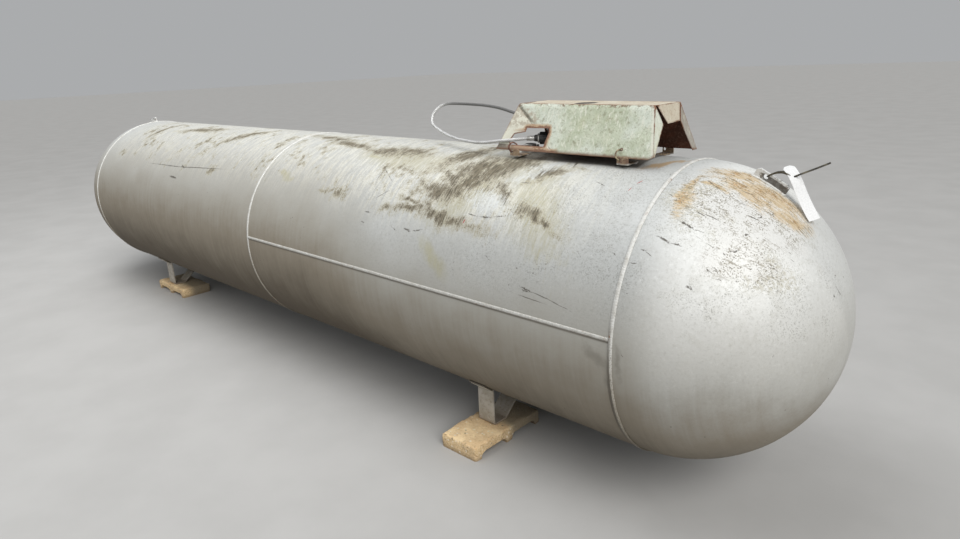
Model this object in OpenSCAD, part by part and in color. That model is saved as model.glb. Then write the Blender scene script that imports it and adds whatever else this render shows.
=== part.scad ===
// Horizontal steel pressure tank for gas, lying on bent strap legs and concrete
// blocks, with a folded sheet cover over its valves and a hose looped out of it.
// Millimetres. +X is the near end, -Y the front, +Z up. The origin is on the
// ground, below the middle girth weld.

/* [Tank] */
// Outside diameter of the shell
tank_d = 1016; // [900:2:1150]
// Length of each of the two shell courses
course_l = 2100; // [1700:10:2600]
// Thickness of the shell plate
shell_t = 7; // [5:0.5:12]
// Thickness of the hemispherical heads
head_t = 5; // [4:0.5:10]
// How far the centre of a head lies inside its girth weld
head_set = 8; // [0:1:20]
// How far a weld bead stands out of the plate
bead_h = 3; // [1.5:0.5:5]
// Radius of the round that a weld bead is cut from
bead_r = 14; // [10:1:20]
// Angle of the near long seam above the horizontal, on the front
seam_angle = 5.5; // [-20:0.5:30]

/* [Legs] */
// Clear height from the underside of the tank to the underside of the feet
leg_drop = 67; // [55:1:120]
// Distance between the outer faces of a front leg and its back leg
leg_stance = 600; // [540:5:680]
// Width of the strap
leg_w = 82; // [60:1:140]
// Thickness of the strap
leg_t = 8; // [5:1:12]
// Inside radius of the bends of the strap
leg_bend = 8; // [4:1:14]
// Length of the flat foot, over its bends
foot_l = 76; // [60:1:100]
// Slope of the inner plate of a leg, from the horizontal
leg_slope = 42; // [36:1:60]
// Length of the flange at the top of a leg, round the tank
leg_flange = 50; // [20:1:70]
// Distance from the near girth weld to the middle of the near legs
leg_near = 705; // [300:5:1200]
// Distance from the far girth weld to the middle of the far legs
leg_far = 495; // [300:5:1200]

/* [Blocks] */
// Length of a concrete block
block_l = 397; // [300:1:450]
// Width of a concrete block
block_w = 194; // [150:1:250]
// Height of a concrete block above the ground
block_h = 60; // [40:1:120]
// Height of the arched cores through a block, above the ground
core_h = 26; // [10:1:35]
// Length of each of the two cores of a block
core_l = 150; // [80:1:160]
// Flat worn along the upright corners of a block
block_wear = 9; // [3:1:20]
// How far the near blocks reach out past the legs
block_reach = 170; // [60:5:200]
// How far the far blocks reach out past the legs
far_block_reach = 20; // [10:5:60]

/* [Lifting lugs] */
// Length of a lug along the slope of the head
lug_l = 112; // [80:1:160]
// Height of a lug above the head
lug_h = 30; // [24:1:60]
// Thickness of a lug
lug_t = 10; // [6:1:16]
// Diameter of the hole in a lug
lug_hole = 16; // [10:1:20]
// Angle from the vertical to the middle of the near lug, seen from the head's centre
lug_angle = 28; // [16:1:45]
// Angle from the vertical to the middle of the far lug, seen from its head's centre
far_lug_angle = 10.5; // [9:0.5:45]

/* [Cover] */
// Width of the flat top of the cover
cover_top_w = 168; // [120:2:220]
// Width of the cover over its bottom edges
cover_w = 300; // [260:2:360]
// Height of the cover, from its bottom edge to its top
cover_h = 164; // [130:2:200]
// Length of the flat top of the cover
cover_top_l = 557; // [500:1:640]
// How far each end of the cover slopes out from top to bottom
cover_flare = 36; // [10:1:60]
// Height of the bottom edges of the cover above the crest of the tank
cover_lift = 12; // [5:1:30]
// Distance from the near girth weld to the near end of the cover's top
cover_near = 113; // [60:1:200]
// Thickness of the cover's sheet
sheet_t = 2; // [1:0.5:4]
// Inside radius of the cover's bends
sheet_bend = 5; // [3:0.5:10]

/* [Valves and hose] */
// Diameter of the hose
hose_d = 12; // [8:1:16]
// Diameter of the black coupling nut on the hose
nut_d = 46; // [30:1:56]
// Length of the coupling nut
nut_l = 48; // [30:1:60]
// Diameter of a valve's handwheel
wheel_d = 56; // [40:1:70]

/* [Hidden] */
$fn = 96;

tank_r = tank_d / 2;
foot_z = block_h;
axis_z = foot_z + leg_drop + tank_r;
crest_z = axis_z + tank_r;
weld_x = course_l;
head_x = weld_x - head_set;

steel = [0.68, 0.67, 0.64];
bare_weld = [0.74, 0.73, 0.70];
concrete = [0.74, 0.66, 0.53];
green_paint = [0.72, 0.75, 0.66];
cream_paint = [0.80, 0.76, 0.66];
rusty = [0.42, 0.27, 0.20];
brass = [0.70, 0.55, 0.28];
black = [0.07, 0.07, 0.07];

// The tank
module tank_space(grow = 0) {
    translate([0, 0, axis_z])
        rotate([0, 90, 0])
            cylinder(r = tank_r + grow, h = 2 * weld_x + 200, center = true, $fn = 180);
}

module course(x0) {
    color(steel)
        translate([x0, 0, axis_z])
            rotate([0, 90, 0])
                difference() {
                    cylinder(r = tank_r, h = course_l, $fn = 180);
                    translate([0, 0, -1])
                        cylinder(r = tank_r - shell_t, h = course_l + 2, $fn = 180);
                }
}

module head() {
    color(steel)
        translate([0, 0, axis_z])
            intersection() {
                translate([head_x, 0, 0])
                    difference() {
                        sphere(r = tank_r, $fn = 180);
                        sphere(r = tank_r - head_t, $fn = 180);
                    }
                translate([weld_x, -tank_r - 1, -tank_r - 1])
                    cube([tank_r + 1, tank_d + 2, tank_d + 2]);
            }
}

// The bead's section is the part of a round that stands out of the plate
module bead_section() {
    intersection() {
        translate([tank_r + bead_h - bead_r, 0])
            circle(r = bead_r, $fn = 48);
        translate([tank_r, -bead_r])
            square([bead_h + 1, 2 * bead_r]);
    }
}

module girth_weld(x0) {
    color(bare_weld)
        translate([x0, 0, axis_z])
            rotate([0, 90, 0])
                rotate_extrude($fn = 180)
                    bead_section();
}

bead_half = sqrt(bead_r * bead_r - pow(bead_r - bead_h, 2));

module long_seam(x0, angle) {
    color(bare_weld)
        translate([x0 + bead_half, 0, axis_z])
            rotate([angle - 90, 0, 0])
                rotate([0, 90, 0])
                    linear_extrude(height = course_l - 2 * bead_half)
                        bead_section();
}

// Points of an arc, and the point below the tank's axis at a turn from straight down
arc_steps = 10;
function arc(r, from, to) = [
    for (i = [0 : arc_steps])
        let (a = from + (to - from) * i / arc_steps)
        r * [cos(a), sin(a)]
];
function moved(points, by) = [for (p = points) p + by];
function on_tank(r, turn) = r * [sin(turn), -cos(turn)];

// The legs: one strap, bent to a foot, with a flange that lies on the tank. Its
// outline is drawn across the tank, with u out to the side and v up from the axis.
leg_u = leg_stance / 2;
leg_outer_bend = leg_bend + leg_t;
foot_v = -(tank_r + leg_drop);
heel_u = leg_u - leg_outer_bend;
toe_u = leg_u - foot_l + leg_outer_bend * tan(leg_slope / 2);
flange_r = tank_r + 0.02;
flange_from = asin((leg_u - leg_t) / flange_r);
flange_turn = asin(leg_u / (flange_r + leg_t));
flange_to = asin(leg_u / flange_r) + leg_flange / flange_r * 180 / PI;
toe_at = [toe_u, foot_v + leg_outer_bend];
heel_at = [heel_u, foot_v + leg_outer_bend];

// Where the inner plate's face at a distance r from its bend's middle meets the tank
function plate_end(r) =
    let (
        p = toe_at + r * [-sin(leg_slope), -cos(leg_slope)],
        d = [-cos(leg_slope), sin(leg_slope)],
        t = -p * d - sqrt(pow(p * d, 2) - p * p + flange_r * flange_r)
    )
    p + t * d;

module leg_outline() {
    polygon(concat(
        [plate_end(leg_outer_bend)],
        moved(arc(leg_outer_bend, -90 - leg_slope, -90), toe_at),
        moved(arc(leg_outer_bend, -90, 0), heel_at),
        [
            for (i = [0 : arc_steps])
                on_tank(flange_r + leg_t, flange_turn + (flange_to - flange_turn) * i / arc_steps)
        ],
        [
            for (i = [0 : arc_steps])
                on_tank(flange_r, flange_to + (flange_from - flange_to) * i / arc_steps)
        ],
        moved(arc(leg_bend, 0, -90), heel_at),
        moved(arc(leg_bend, -90, -90 - leg_slope), toe_at),
        [plate_end(leg_bend)]
    ));
}

module leg(x0, back = false) {
    color(steel)
        translate([x0 + leg_w / 2, 0, axis_z])
            mirror([0, back ? 0 : 1, 0])
                rotate([90, 0, -90])
                    mirror([1, 0, 0])
                        linear_extrude(height = leg_w)
                            leg_outline();
}

near_leg_x = weld_x - leg_near;
far_leg_x = -weld_x + leg_far;

// A block, lying along x with its upright corners worn off. Two cores go through
// it; their lower halves are in the ground, so they show as low arches.
core_step = block_l / 4 - 8;

module core_outline() {
    straight = core_l / 2 - core_h;
    polygon(concat(
        [[core_l / 2, -1]],
        moved(arc(core_h, 0, 90), [straight, 0]),
        moved(arc(core_h, 90, 180), [-straight, 0]),
        [[-core_l / 2, -1]]
    ));
}

module block(x0, y0, turn) {
    half_l = block_l / 2;
    half_w = block_w / 2;
    w = block_wear;
    color(concrete)
        translate([x0, y0, 0])
            rotate([0, 0, turn])
                difference() {
                    linear_extrude(height = block_h)
                        polygon([
                            [-half_l + w, -half_w], [half_l - w, -half_w],
                            [half_l, -half_w + w], [half_l, half_w - w],
                            [half_l - w, half_w], [-half_l + w, half_w],
                            [-half_l, half_w - w], [-half_l, -half_w + w]
                        ]);
                    for (middle = [-core_step, core_step])
                        translate([middle, 0, 0])
                            rotate([90, 0, 0])
                                linear_extrude(height = block_w + 2, center = true)
                                    core_outline();
                }
}

near_block_y = leg_u + block_reach - block_l / 2;
far_block_y = leg_u + far_block_reach - block_w / 2;

// The lifting lugs: flat plates on the crest line of each head
lug_hole_side = 21;
lug_corner = 12;

module lug_outline() {
    difference() {
        translate([tank_r - 20, -lug_l / 2])
            square([lug_h + 20, lug_l]);
        circle(r = tank_r, $fn = 180);
        translate([tank_r + lug_h, lug_l / 2])
            rotate(45)
                square([lug_corner, lug_corner], center = true);
        translate([tank_r + lug_h, -lug_l / 2])
            rotate(45)
                square([lug_corner, lug_corner], center = true);
        translate([tank_r + lug_h / 2, lug_hole_side])
            circle(d = lug_hole, $fn = 48);
    }
}

module lifting_lug(angle) {
    color(steel)
        translate([head_x, lug_t / 2, axis_z])
            rotate([90, 0, 0])
                rotate(90 - angle)
                    linear_extrude(height = lug_t)
                        lug_outline();
}

// The cover: its top and sides are bent from sheet, its ends are folded flaps
cover_top_x = weld_x - cover_near;
cover_mid_x = cover_top_x - cover_top_l / 2;
cover_top_z = crest_z + cover_lift + cover_h;
side_lean = atan((cover_w - cover_top_w) / 2 / cover_h);
end_lean = atan(cover_flare / cover_h);
side_l = cover_h / cos(side_lean);
end_l = cover_h / cos(end_lean);
fold_r = sheet_bend + sheet_t;
fold_turn = 90 - side_lean;
fold_cut = fold_r * tan(fold_turn / 2);

// Half the cover's length at a distance d down its side
function half_l(d) = cover_top_l / 2 + d * cos(side_lean) * tan(end_lean);

// Lays x and the distance down the front side onto the slope of that side
module on_front_side() {
    translate([cover_mid_x, -cover_top_w / 2, cover_top_z])
        rotate([-90 - side_lean, 0, 0])
            children();
}

// Lays y and the distance down an end onto the slope of the near end
module on_near_end() {
    translate([cover_mid_x + cover_top_l / 2, 0, cover_top_z])
        rotate([0, -90 - end_lean, 0])
            rotate([0, 0, 90])
                children();
}

module mirror_cover_x() {
    translate([cover_mid_x, 0, 0])
        mirror([1, 0, 0])
            translate([-cover_mid_x, 0, 0])
                children();
}

// What lies between the inner faces of the two end planes
module between_ends(near = true, far = true) {
    x_in = sheet_t / cos(end_lean);
    reach = 400;
    difference() {
        children();
        if (near)
            translate([cover_mid_x + cover_top_l / 2 - x_in, 0, cover_top_z])
                rotate([0, -end_lean, 0])
                    translate([0, -reach, -reach])
                        cube([reach, 2 * reach, 2 * reach]);
        if (far)
            mirror_cover_x()
                translate([cover_mid_x + cover_top_l / 2 - x_in, 0, cover_top_z])
                    rotate([0, -end_lean, 0])
                        translate([0, -reach, -reach])
                            cube([reach, 2 * reach, 2 * reach]);
    }
}

module cover_top() {
    color(cream_paint)
        between_ends()
            translate([cover_mid_x - cover_top_l / 2, -cover_top_w / 2 + fold_cut, cover_top_z - sheet_t])
                cube([cover_top_l, cover_top_w - 2 * fold_cut, sheet_t]);
}

// The fold beside the top and the sloping side below it, bent from one sheet. The
// outline is drawn around the middle of the fold, with its low end at a distance r.
function low_end(r) =
    r * [cos(90 + fold_turn), sin(90 + fold_turn)]
    + (side_l - fold_cut) * [-sin(90 - fold_turn), -cos(90 - fold_turn)];

module front_side() {
    translate([cover_mid_x - cover_top_l, -cover_top_w / 2 + fold_cut, cover_top_z - fold_r])
        rotate([90, 0, 90])
            linear_extrude(height = 2 * cover_top_l)
                polygon(concat(
                    arc(sheet_bend, 90, 90 + fold_turn),
                    [low_end(sheet_bend), low_end(fold_r)],
                    arc(fold_r, 90 + fold_turn, 90)
                ));
}

// The window cut through the front, from its low left corner round to the right.
// Places are x from the cover's middle and the distance down the side.
window_edge = 20;
window = [
    [-221, 91], [-122, 89], [-116, 105], [-127, side_l - window_edge],
    [-284, side_l - window_edge], [-288, 140], [-273, 116], [-224, 106]
];
far_tip = -345;
far_top = -281;
corner_cut = [20, 9];

// Cuts through the front side, along its slope
module cut_front(points) {
    on_front_side()
        translate([0, 0, -40])
            linear_extrude(height = 80)
                polygon(points);
}

module cover_front() {
    lean = (far_top - far_tip) / (side_l - fold_cut);
    low_x = half_l(side_l);
    color(green_paint)
        difference() {
            between_ends(near = true, far = false)
                front_side();
            cut_front(window);
            cut_front([
                [far_top + lean * 60, fold_cut - 60], [far_tip - lean * 60, side_l + 60],
                [-cover_top_l - 1, side_l + 60], [-cover_top_l - 1, fold_cut - 60]
            ]);
            cut_front([
                [low_x - corner_cut[0], side_l + 1], [low_x + 5, side_l - corner_cut[1]],
                [low_x + 5, side_l + 1]
            ]);
            translate([front_lug_near_x + ring_side, ring_y, ring_z])
                rotate([-side_lean, 0, 0])
                    translate([0, 0, ring_r])
                        rotate([90, 0, -ring_turn])
                            cylinder(d = wire_d + 4, h = 10 * sheet_t, center = true, $fn = 32);
        }
}

module cover_back() {
    color(green_paint)
        mirror([0, 1, 0])
            between_ends()
                front_side();
}

// Widths of the end, outside, at a distance e down its slope
function end_half(e) = cover_top_w / 2 + e * cos(end_lean) * tan(side_lean);

module end_flap() {
    color(cream_paint)
        on_near_end()
            linear_extrude(height = sheet_t)
                polygon([
                    [-end_half(0) + 10, 0], [-20, 64], [62, 62], [end_half(0) - 4, 0]
                ]);
}

module front_wing() {
    color(green_paint)
        on_near_end()
            linear_extrude(height = sheet_t)
                polygon([
                    [-end_half(0), 1], [-51, 64],
                    [-end_half(end_l) + 10, end_l - 9], [-end_half(end_l - 9), end_l - 9]
                ]);
}

module back_wing() {
    color(green_paint)
        on_near_end()
            linear_extrude(height = sheet_t)
                polygon([
                    [end_half(0), 1], [66, 62], [120, end_l], [end_half(end_l), end_l]
                ]);
}

// Tabs welded to the tank, which hold the cover's bottom edges. Each has a hole
// for a wire ring, which goes on through the cover's side.
cover_lug_w = 42;
cover_lug_t = 5;
front_lug_near_x = cover_mid_x + 205;
front_lug_far_x = cover_mid_x - 252;
seat = 0.3;
tab_reach = cover_w / 2 + cover_lug_t + seat;
tab_foot = 68;
tab_z = crest_z - 10;
ring_side = -13;
ring_hole_z = crest_z + 6;
ring_hole = 10;
ring_turn = 35;
wire_d = 4;
ring_r = 17;

module cover_lug(x0) {
    color(rusty)
        translate([x0 - cover_lug_w / 2, 0, 0])
            difference() {
                union() {
                    translate([0, -tab_reach, tab_z])
                        cube([cover_lug_w, tab_foot, cover_lug_t]);
                    translate([0, -tab_reach, tab_z])
                        cube([cover_lug_w, cover_lug_t, cover_lift + 4 - tab_z + crest_z]);
                }
                tank_space();
                translate([cover_lug_w / 2 + ring_side, -tab_reach - 1, ring_hole_z])
                    rotate([-90, 0, 0])
                        cylinder(d = ring_hole, h = cover_lug_t + 2, $fn = 32);
            }
}

// A wire ring through the tab. Its middle lies in the slope of the cover's side, and
// it is turned about that slope, so its outer half swings to the far side.
ring_y = -tab_reach + cover_lug_t / 2 + ring_r * sin(side_lean);
ring_z = ring_hole_z + ring_r * cos(side_lean);

module lug_ring(x0) {
    color([0.75, 0.72, 0.68])
        translate([x0 + ring_side, ring_y, ring_z])
            rotate([-side_lean, 0, 0])
                rotate([0, 0, -ring_turn])
                    rotate([0, 90, 0])
                        rotate_extrude($fn = 48)
                            translate([ring_r, 0])
                                circle(d = wire_d, $fn = 24);
}

// Valves, on the crest of the tank under the cover
module on_crest(x0, y0) {
    difference() {
        translate([x0, y0, crest_z - 30])
            children();
        tank_space();
    }
}

module float_gauge() {
    color(steel)
        on_crest(cover_mid_x - 262, -48) {
            cylinder(d = 70, h = 44, $fn = 48);
            cylinder(d = 46, h = 54, $fn = 48);
        }
}

// An angle valve: a body with a handwheel above, and an outlet to the side
module valve(at, outlet_z, turn, tilt, outlet_l) {
    color(brass)
        on_crest(at[0], at[1]) {
            cylinder(d = 46, h = outlet_z + 4, $fn = 6);
            cylinder(d = 30, h = outlet_z + 59, $fn = 48);
            cylinder(d = 12, h = outlet_z + 80, $fn = 32);
            translate([0, 0, outlet_z + 30])
                rotate([0, 90 - tilt, turn])
                    cylinder(d = 24, h = outlet_l, $fn = 32);
            translate([0, 0, outlet_z + 72])
                cylinder(d = wheel_d, h = 9, $fn = 48);
        }
}

module filler_valve() {
    color(brass)
        on_crest(cover_mid_x + 60, 5) {
            cylinder(d = 58, h = 56, $fn = 6);
            cylinder(d = 50, h = 92, $fn = 48);
        }
}

module relief_valve() {
    color(brass)
        on_crest(cover_mid_x + 165, -5) {
            cylinder(d = 52, h = 60, $fn = 6);
            cylinder(d = 40, h = 118, $fn = 48);
            translate([0, 0, 118])
                cylinder(d = 52, h = 8, $fn = 48);
        }
}

// Places of the two hose valves, and the height, turn, tilt and length of their outlets
service_at = [cover_mid_x - 134, -43];
service_z = 52;
service_turn = 215;
service_out = 40;
return_at = [cover_mid_x - 164, 34];
return_z = 57;
return_turn = 180;
return_tilt = 18;
return_out = 36;

module coupling(at, outlet_z, turn, tilt, from) {
    color(black)
        translate([at[0], at[1], crest_z + outlet_z])
            rotate([0, 90 - tilt, turn])
                translate([0, 0, from]) {
                    cylinder(d = nut_d, h = nut_l * 0.6, $fn = 48);
                    cylinder(d = nut_d * 0.6, h = nut_l, $fn = 48);
                }
}

// The hose's route, from the service coupling out of the window, round its loop and
// back into the cover. The points are measured from the crest below the cover's middle.
route = [
    [-206, -94, 52], [-238, -116, 51], [-266, -131, 48], [-298, -144, 45], [-334, -150, 42],
    [-378, -148, 35], [-428, -139, 30], [-486, -125, 27], [-546, -110, 28], [-608, -94, 31],
    [-672, -77, 39], [-728, -60, 49], [-776, -45, 62], [-812, -35, 77], [-830, -22, 98],
    [-833, -5, 122], [-820, 12, 144], [-793, 27, 158], [-753, 35, 161], [-690, 40, 160],
    [-635, 43, 158], [-588, 44, 156], [-542, 44, 152], [-495, 43, 146], [-450, 41, 137],
    [-412, 38, 129], [-370, 36, 120], [-330, 35, 110], [-290, 34, 98], [-244, 34, 83]
];

module hose() {
    color([0.75, 0.75, 0.74])
        translate([cover_mid_x, 0, crest_z])
            tube(route, hose_d / 2, 8, 2);
}

// A tube along points, smoothed between them
function smooth_at(p, i, t) =
    let (
        a = p[max(i - 1, 0)],
        b = p[i],
        c = p[min(i + 1, len(p) - 1)],
        d = p[min(i + 2, len(p) - 1)]
    )
    0.5 * (2 * b + (c - a) * t + (2 * a - 5 * b + 4 * c - d) * t * t + (3 * b - a - 3 * c + d) * t * t * t);
function smooth(p, n) = concat(
    [for (i = [0 : len(p) - 2], k = [0 : n - 1]) smooth_at(p, i, k / n)],
    [p[len(p) - 1]]
);
function unit(v) = v / norm(v);

module tube(points, r, sides, n, ref = [0, 1, 0]) {
    p = smooth(points, n);
    last = len(p) - 1;
    rings = [
        for (i = [0 : last])
            let (
                along = unit(p[min(i + 1, last)] - p[max(i - 1, 0)]),
                u = unit(cross(ref, along)),
                v = cross(along, u)
            )
            for (k = [0 : sides - 1])
                p[i] + r * (cos(360 * k / sides) * u + sin(360 * k / sides) * v)
    ];
    walls = [
        for (i = [0 : last - 1], k = [0 : sides - 1])
            let (m = (k + 1) % sides)
            [i * sides + k, (i + 1) * sides + k, (i + 1) * sides + m, i * sides + m]
    ];
    polyhedron(
        points = rings,
        faces = concat(
            walls,
            [[for (k = [0 : sides - 1]) k]],
            [[for (k = [sides - 1 : -1 : 0]) last * sides + k]]
        )
    );
}

// The tie through the near lug's hole. The points are measured from that hole: from
// the tie's head round through the hole, back to the head and out along its tail.
lug_hole_r = tank_r + lug_h / 2;
tie_x = head_x + lug_hole_r * sin(lug_angle) - lug_hole_side * cos(lug_angle);
tie_z = axis_z + lug_hole_r * cos(lug_angle) + lug_hole_side * sin(lug_angle);
tie_r = 1.6;
tie_in = lug_hole / 2 - tie_r - 2 * seat;
tie_route = [
    [72, 5, 4], [64, -1, 11], [50, -7, 17], [28, -10, 14], [tie_in + 5, -9, 5],
    [tie_in, -5.4, 1], [tie_in, 0, 1], [tie_in, 5.4, 1], [tie_in + 5, 9, 5],
    [28, 11, 14], [50, 10, 17], [64, 9, 11], [72, 8, 4], [80, 8, 6],
    [100, 9, 16], [135, 12, 33], [172, 15, 52]
];
tie_head = [72.5, 7, 3];

module cable_tie() {
    color(black)
        translate([tie_x, 0, tie_z]) {
            tube(tie_route, tie_r, 8, 2, ref = [0, 0, 1]);
            translate(tie_head)
                rotate([0, -25, 0])
                    cube([6, 8, 6], center = true);
        }
}

// The blank tag: a stiff paper strip that bends over at its top, where the tie's
// tail goes through it. The points run up from its low end, in the plane it bends in.
tag_w = 35;
tag_t = 0.8;
tag_low = [154, -12, -112];
tag_turn = [0, 75.5, 51.7];
tag_bend = [[0, 0], [-27, 20], [-54, 37], [-83, 51], [-108, 62], [-127, 74], [-141, 88], [-148, 104]];
tag_hole_at = [-122, 70.8];
tag_hole = 5.8;

function left_of(v) = unit([-v[1], v[0]]);
function beside(p, i, d) =
    p[i] + d * left_of(p[min(i + 1, len(p) - 1)] - p[max(i - 1, 0)]);

module blank_tag() {
    fold = tag_bend[5] - tag_bend[4];
    color([0.95, 0.95, 0.95])
        translate([tie_x, 0, tie_z] + tag_low)
            rotate(tag_turn)
                difference() {
                    linear_extrude(height = tag_w, center = true)
                        polygon(concat(
                            [for (i = [0 : len(tag_bend) - 1]) beside(tag_bend, i, tag_t / 2)],
                            [for (i = [len(tag_bend) - 1 : -1 : 0]) beside(tag_bend, i, -tag_t / 2)]
                        ));
                    translate([tag_hole_at[0], tag_hole_at[1], 0])
                        rotate(atan2(fold[1], fold[0]))
                            rotate([90, 0, 0])
                                cylinder(d = tag_hole, h = 10, center = true, $fn = 32);
                }
}

course(0);  // shell_near
course(-course_l);  // shell_far
head();  // head_near
mirror([1, 0, 0]) head();  // head_far
girth_weld(weld_x);  // girth_weld_near
girth_weld(0);  // girth_weld_middle
girth_weld(-weld_x);  // girth_weld_far
long_seam(0, -seam_angle);  // long_seam_near
long_seam(-course_l, 180 + seam_angle);  // long_seam_far
leg(near_leg_x);  // leg_near_front
leg(near_leg_x, back = true);  // leg_near_back
leg(far_leg_x);  // leg_far_front
leg(far_leg_x, back = true);  // leg_far_back
block(near_leg_x, -near_block_y, 90);  // block_near_front
block(near_leg_x, near_block_y, 90);  // block_near_back
block(far_leg_x, -far_block_y, 0);  // block_far_front
block(far_leg_x, far_block_y, 0);  // block_far_back
lifting_lug(lug_angle);  // lifting_lug_near
mirror([1, 0, 0]) lifting_lug(far_lug_angle);  // lifting_lug_far
cable_tie();
blank_tag();
cover_top();
cover_front();
cover_back();
end_flap();  // cover_flap_near
front_wing();  // cover_wing_near_front
back_wing();  // cover_wing_near_back
mirror_cover_x() end_flap();  // cover_flap_far
mirror_cover_x() back_wing();  // cover_wing_far_back
cover_lug(front_lug_near_x);  // cover_lug_near_front
cover_lug(front_lug_far_x);  // cover_lug_far_front
mirror([0, 1, 0]) cover_lug(front_lug_near_x);  // cover_lug_near_back
mirror([0, 1, 0]) cover_lug(front_lug_far_x);  // cover_lug_far_back
lug_ring(front_lug_near_x);  // lug_ring_near
lug_ring(front_lug_far_x);  // lug_ring_far
float_gauge();
valve(return_at, return_z, return_turn, return_tilt, return_out);  // return_valve
valve(service_at, service_z, service_turn, 0, service_out);  // service_valve
filler_valve();
relief_valve();
coupling(service_at, service_z, service_turn, 0, service_out);  // service_coupling
coupling(return_at, return_z, return_turn, return_tilt, return_out);  // return_coupling
hose();
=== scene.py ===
import math

import bmesh
import bpy
from mathutils import Matrix, Vector, geometry, noise


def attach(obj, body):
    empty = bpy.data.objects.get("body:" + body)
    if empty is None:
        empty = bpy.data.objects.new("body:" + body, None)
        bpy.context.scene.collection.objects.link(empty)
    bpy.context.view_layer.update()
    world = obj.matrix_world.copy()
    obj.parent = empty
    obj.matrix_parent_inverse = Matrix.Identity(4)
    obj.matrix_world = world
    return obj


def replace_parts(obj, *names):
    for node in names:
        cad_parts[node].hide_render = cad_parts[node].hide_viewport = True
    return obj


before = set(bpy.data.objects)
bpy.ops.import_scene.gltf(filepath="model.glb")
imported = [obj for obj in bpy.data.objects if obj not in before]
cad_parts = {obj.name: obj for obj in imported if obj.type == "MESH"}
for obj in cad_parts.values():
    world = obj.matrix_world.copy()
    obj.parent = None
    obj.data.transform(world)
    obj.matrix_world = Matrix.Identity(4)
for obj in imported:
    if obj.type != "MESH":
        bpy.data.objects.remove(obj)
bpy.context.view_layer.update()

# Studio
# A plain pale floor below the blocks, a broad soft key from the right, a soft light
# along the top, and a camera where the photographer stood.
scene = bpy.context.scene
scene.view_settings.view_transform = "Standard"
LENS = 25.0
CAMERA_AT = Vector((3.0631, -2.0516, 1.4770))
CAMERA_YAW = math.radians(43.624)
CAMERA_PITCH = math.radians(-17.4)
CAMERA_ROLL = math.radians(-2.4165)


def photo_camera():
    level = math.cos(CAMERA_PITCH)
    ahead = Vector((-math.sin(CAMERA_YAW) * level, math.cos(CAMERA_YAW) * level, math.sin(CAMERA_PITCH)))
    flat_right = Vector((math.cos(CAMERA_YAW), math.sin(CAMERA_YAW), 0))
    flat_up = flat_right.cross(ahead)
    right = math.cos(CAMERA_ROLL) * flat_right + math.sin(CAMERA_ROLL) * flat_up
    up = -math.sin(CAMERA_ROLL) * flat_right + math.cos(CAMERA_ROLL) * flat_up
    turned = Matrix((right, up, -ahead)).transposed().to_4x4()
    lens = bpy.data.cameras.new("photo_camera")
    lens.sensor_width = 36
    lens.lens = LENS
    lens.clip_end = 200
    camera = bpy.data.objects.new("photo_camera", lens)
    camera.matrix_world = Matrix.Translation(CAMERA_AT) @ turned
    scene.collection.objects.link(camera)
    scene.camera = camera


def soft_light(name, at, aim, size, power, tint):
    light = bpy.data.lights.new(name, "AREA")
    light.shape = "RECTANGLE"
    light.size, light.size_y = size
    light.energy = power
    light.color = tint
    lamp = bpy.data.objects.new(name, light)
    lamp.location = at
    lamp.rotation_euler = (Vector(aim) - Vector(at)).to_track_quat("-Z", "Y").to_euler()
    scene.collection.objects.link(lamp)


photo_camera()
soft_light("top_light", (-1.0, -0.6, 5.5), (-0.6, 0, 1.0), (6.0, 3.0), 190, (0.97, 0.985, 1.0))
key = bpy.data.lights.new("key_light", "SUN")
key.energy = 2.5
key.angle = math.radians(42)
key.color = (1.0, 0.985, 0.96)
key_lamp = bpy.data.objects.new("key_light", key)
key_lamp.rotation_euler = Vector((-0.70, 0.30, -0.65)).to_track_quat("-Z", "Y").to_euler()
scene.collection.objects.link(key_lamp)
world = bpy.data.worlds.new("soft_sky")
world.use_nodes = True
world.node_tree.nodes["Background"].inputs["Color"].default_value = (0.96, 0.98, 1.0, 1)
world.node_tree.nodes["Background"].inputs["Strength"].default_value = 0.42
scene.world = world


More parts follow.
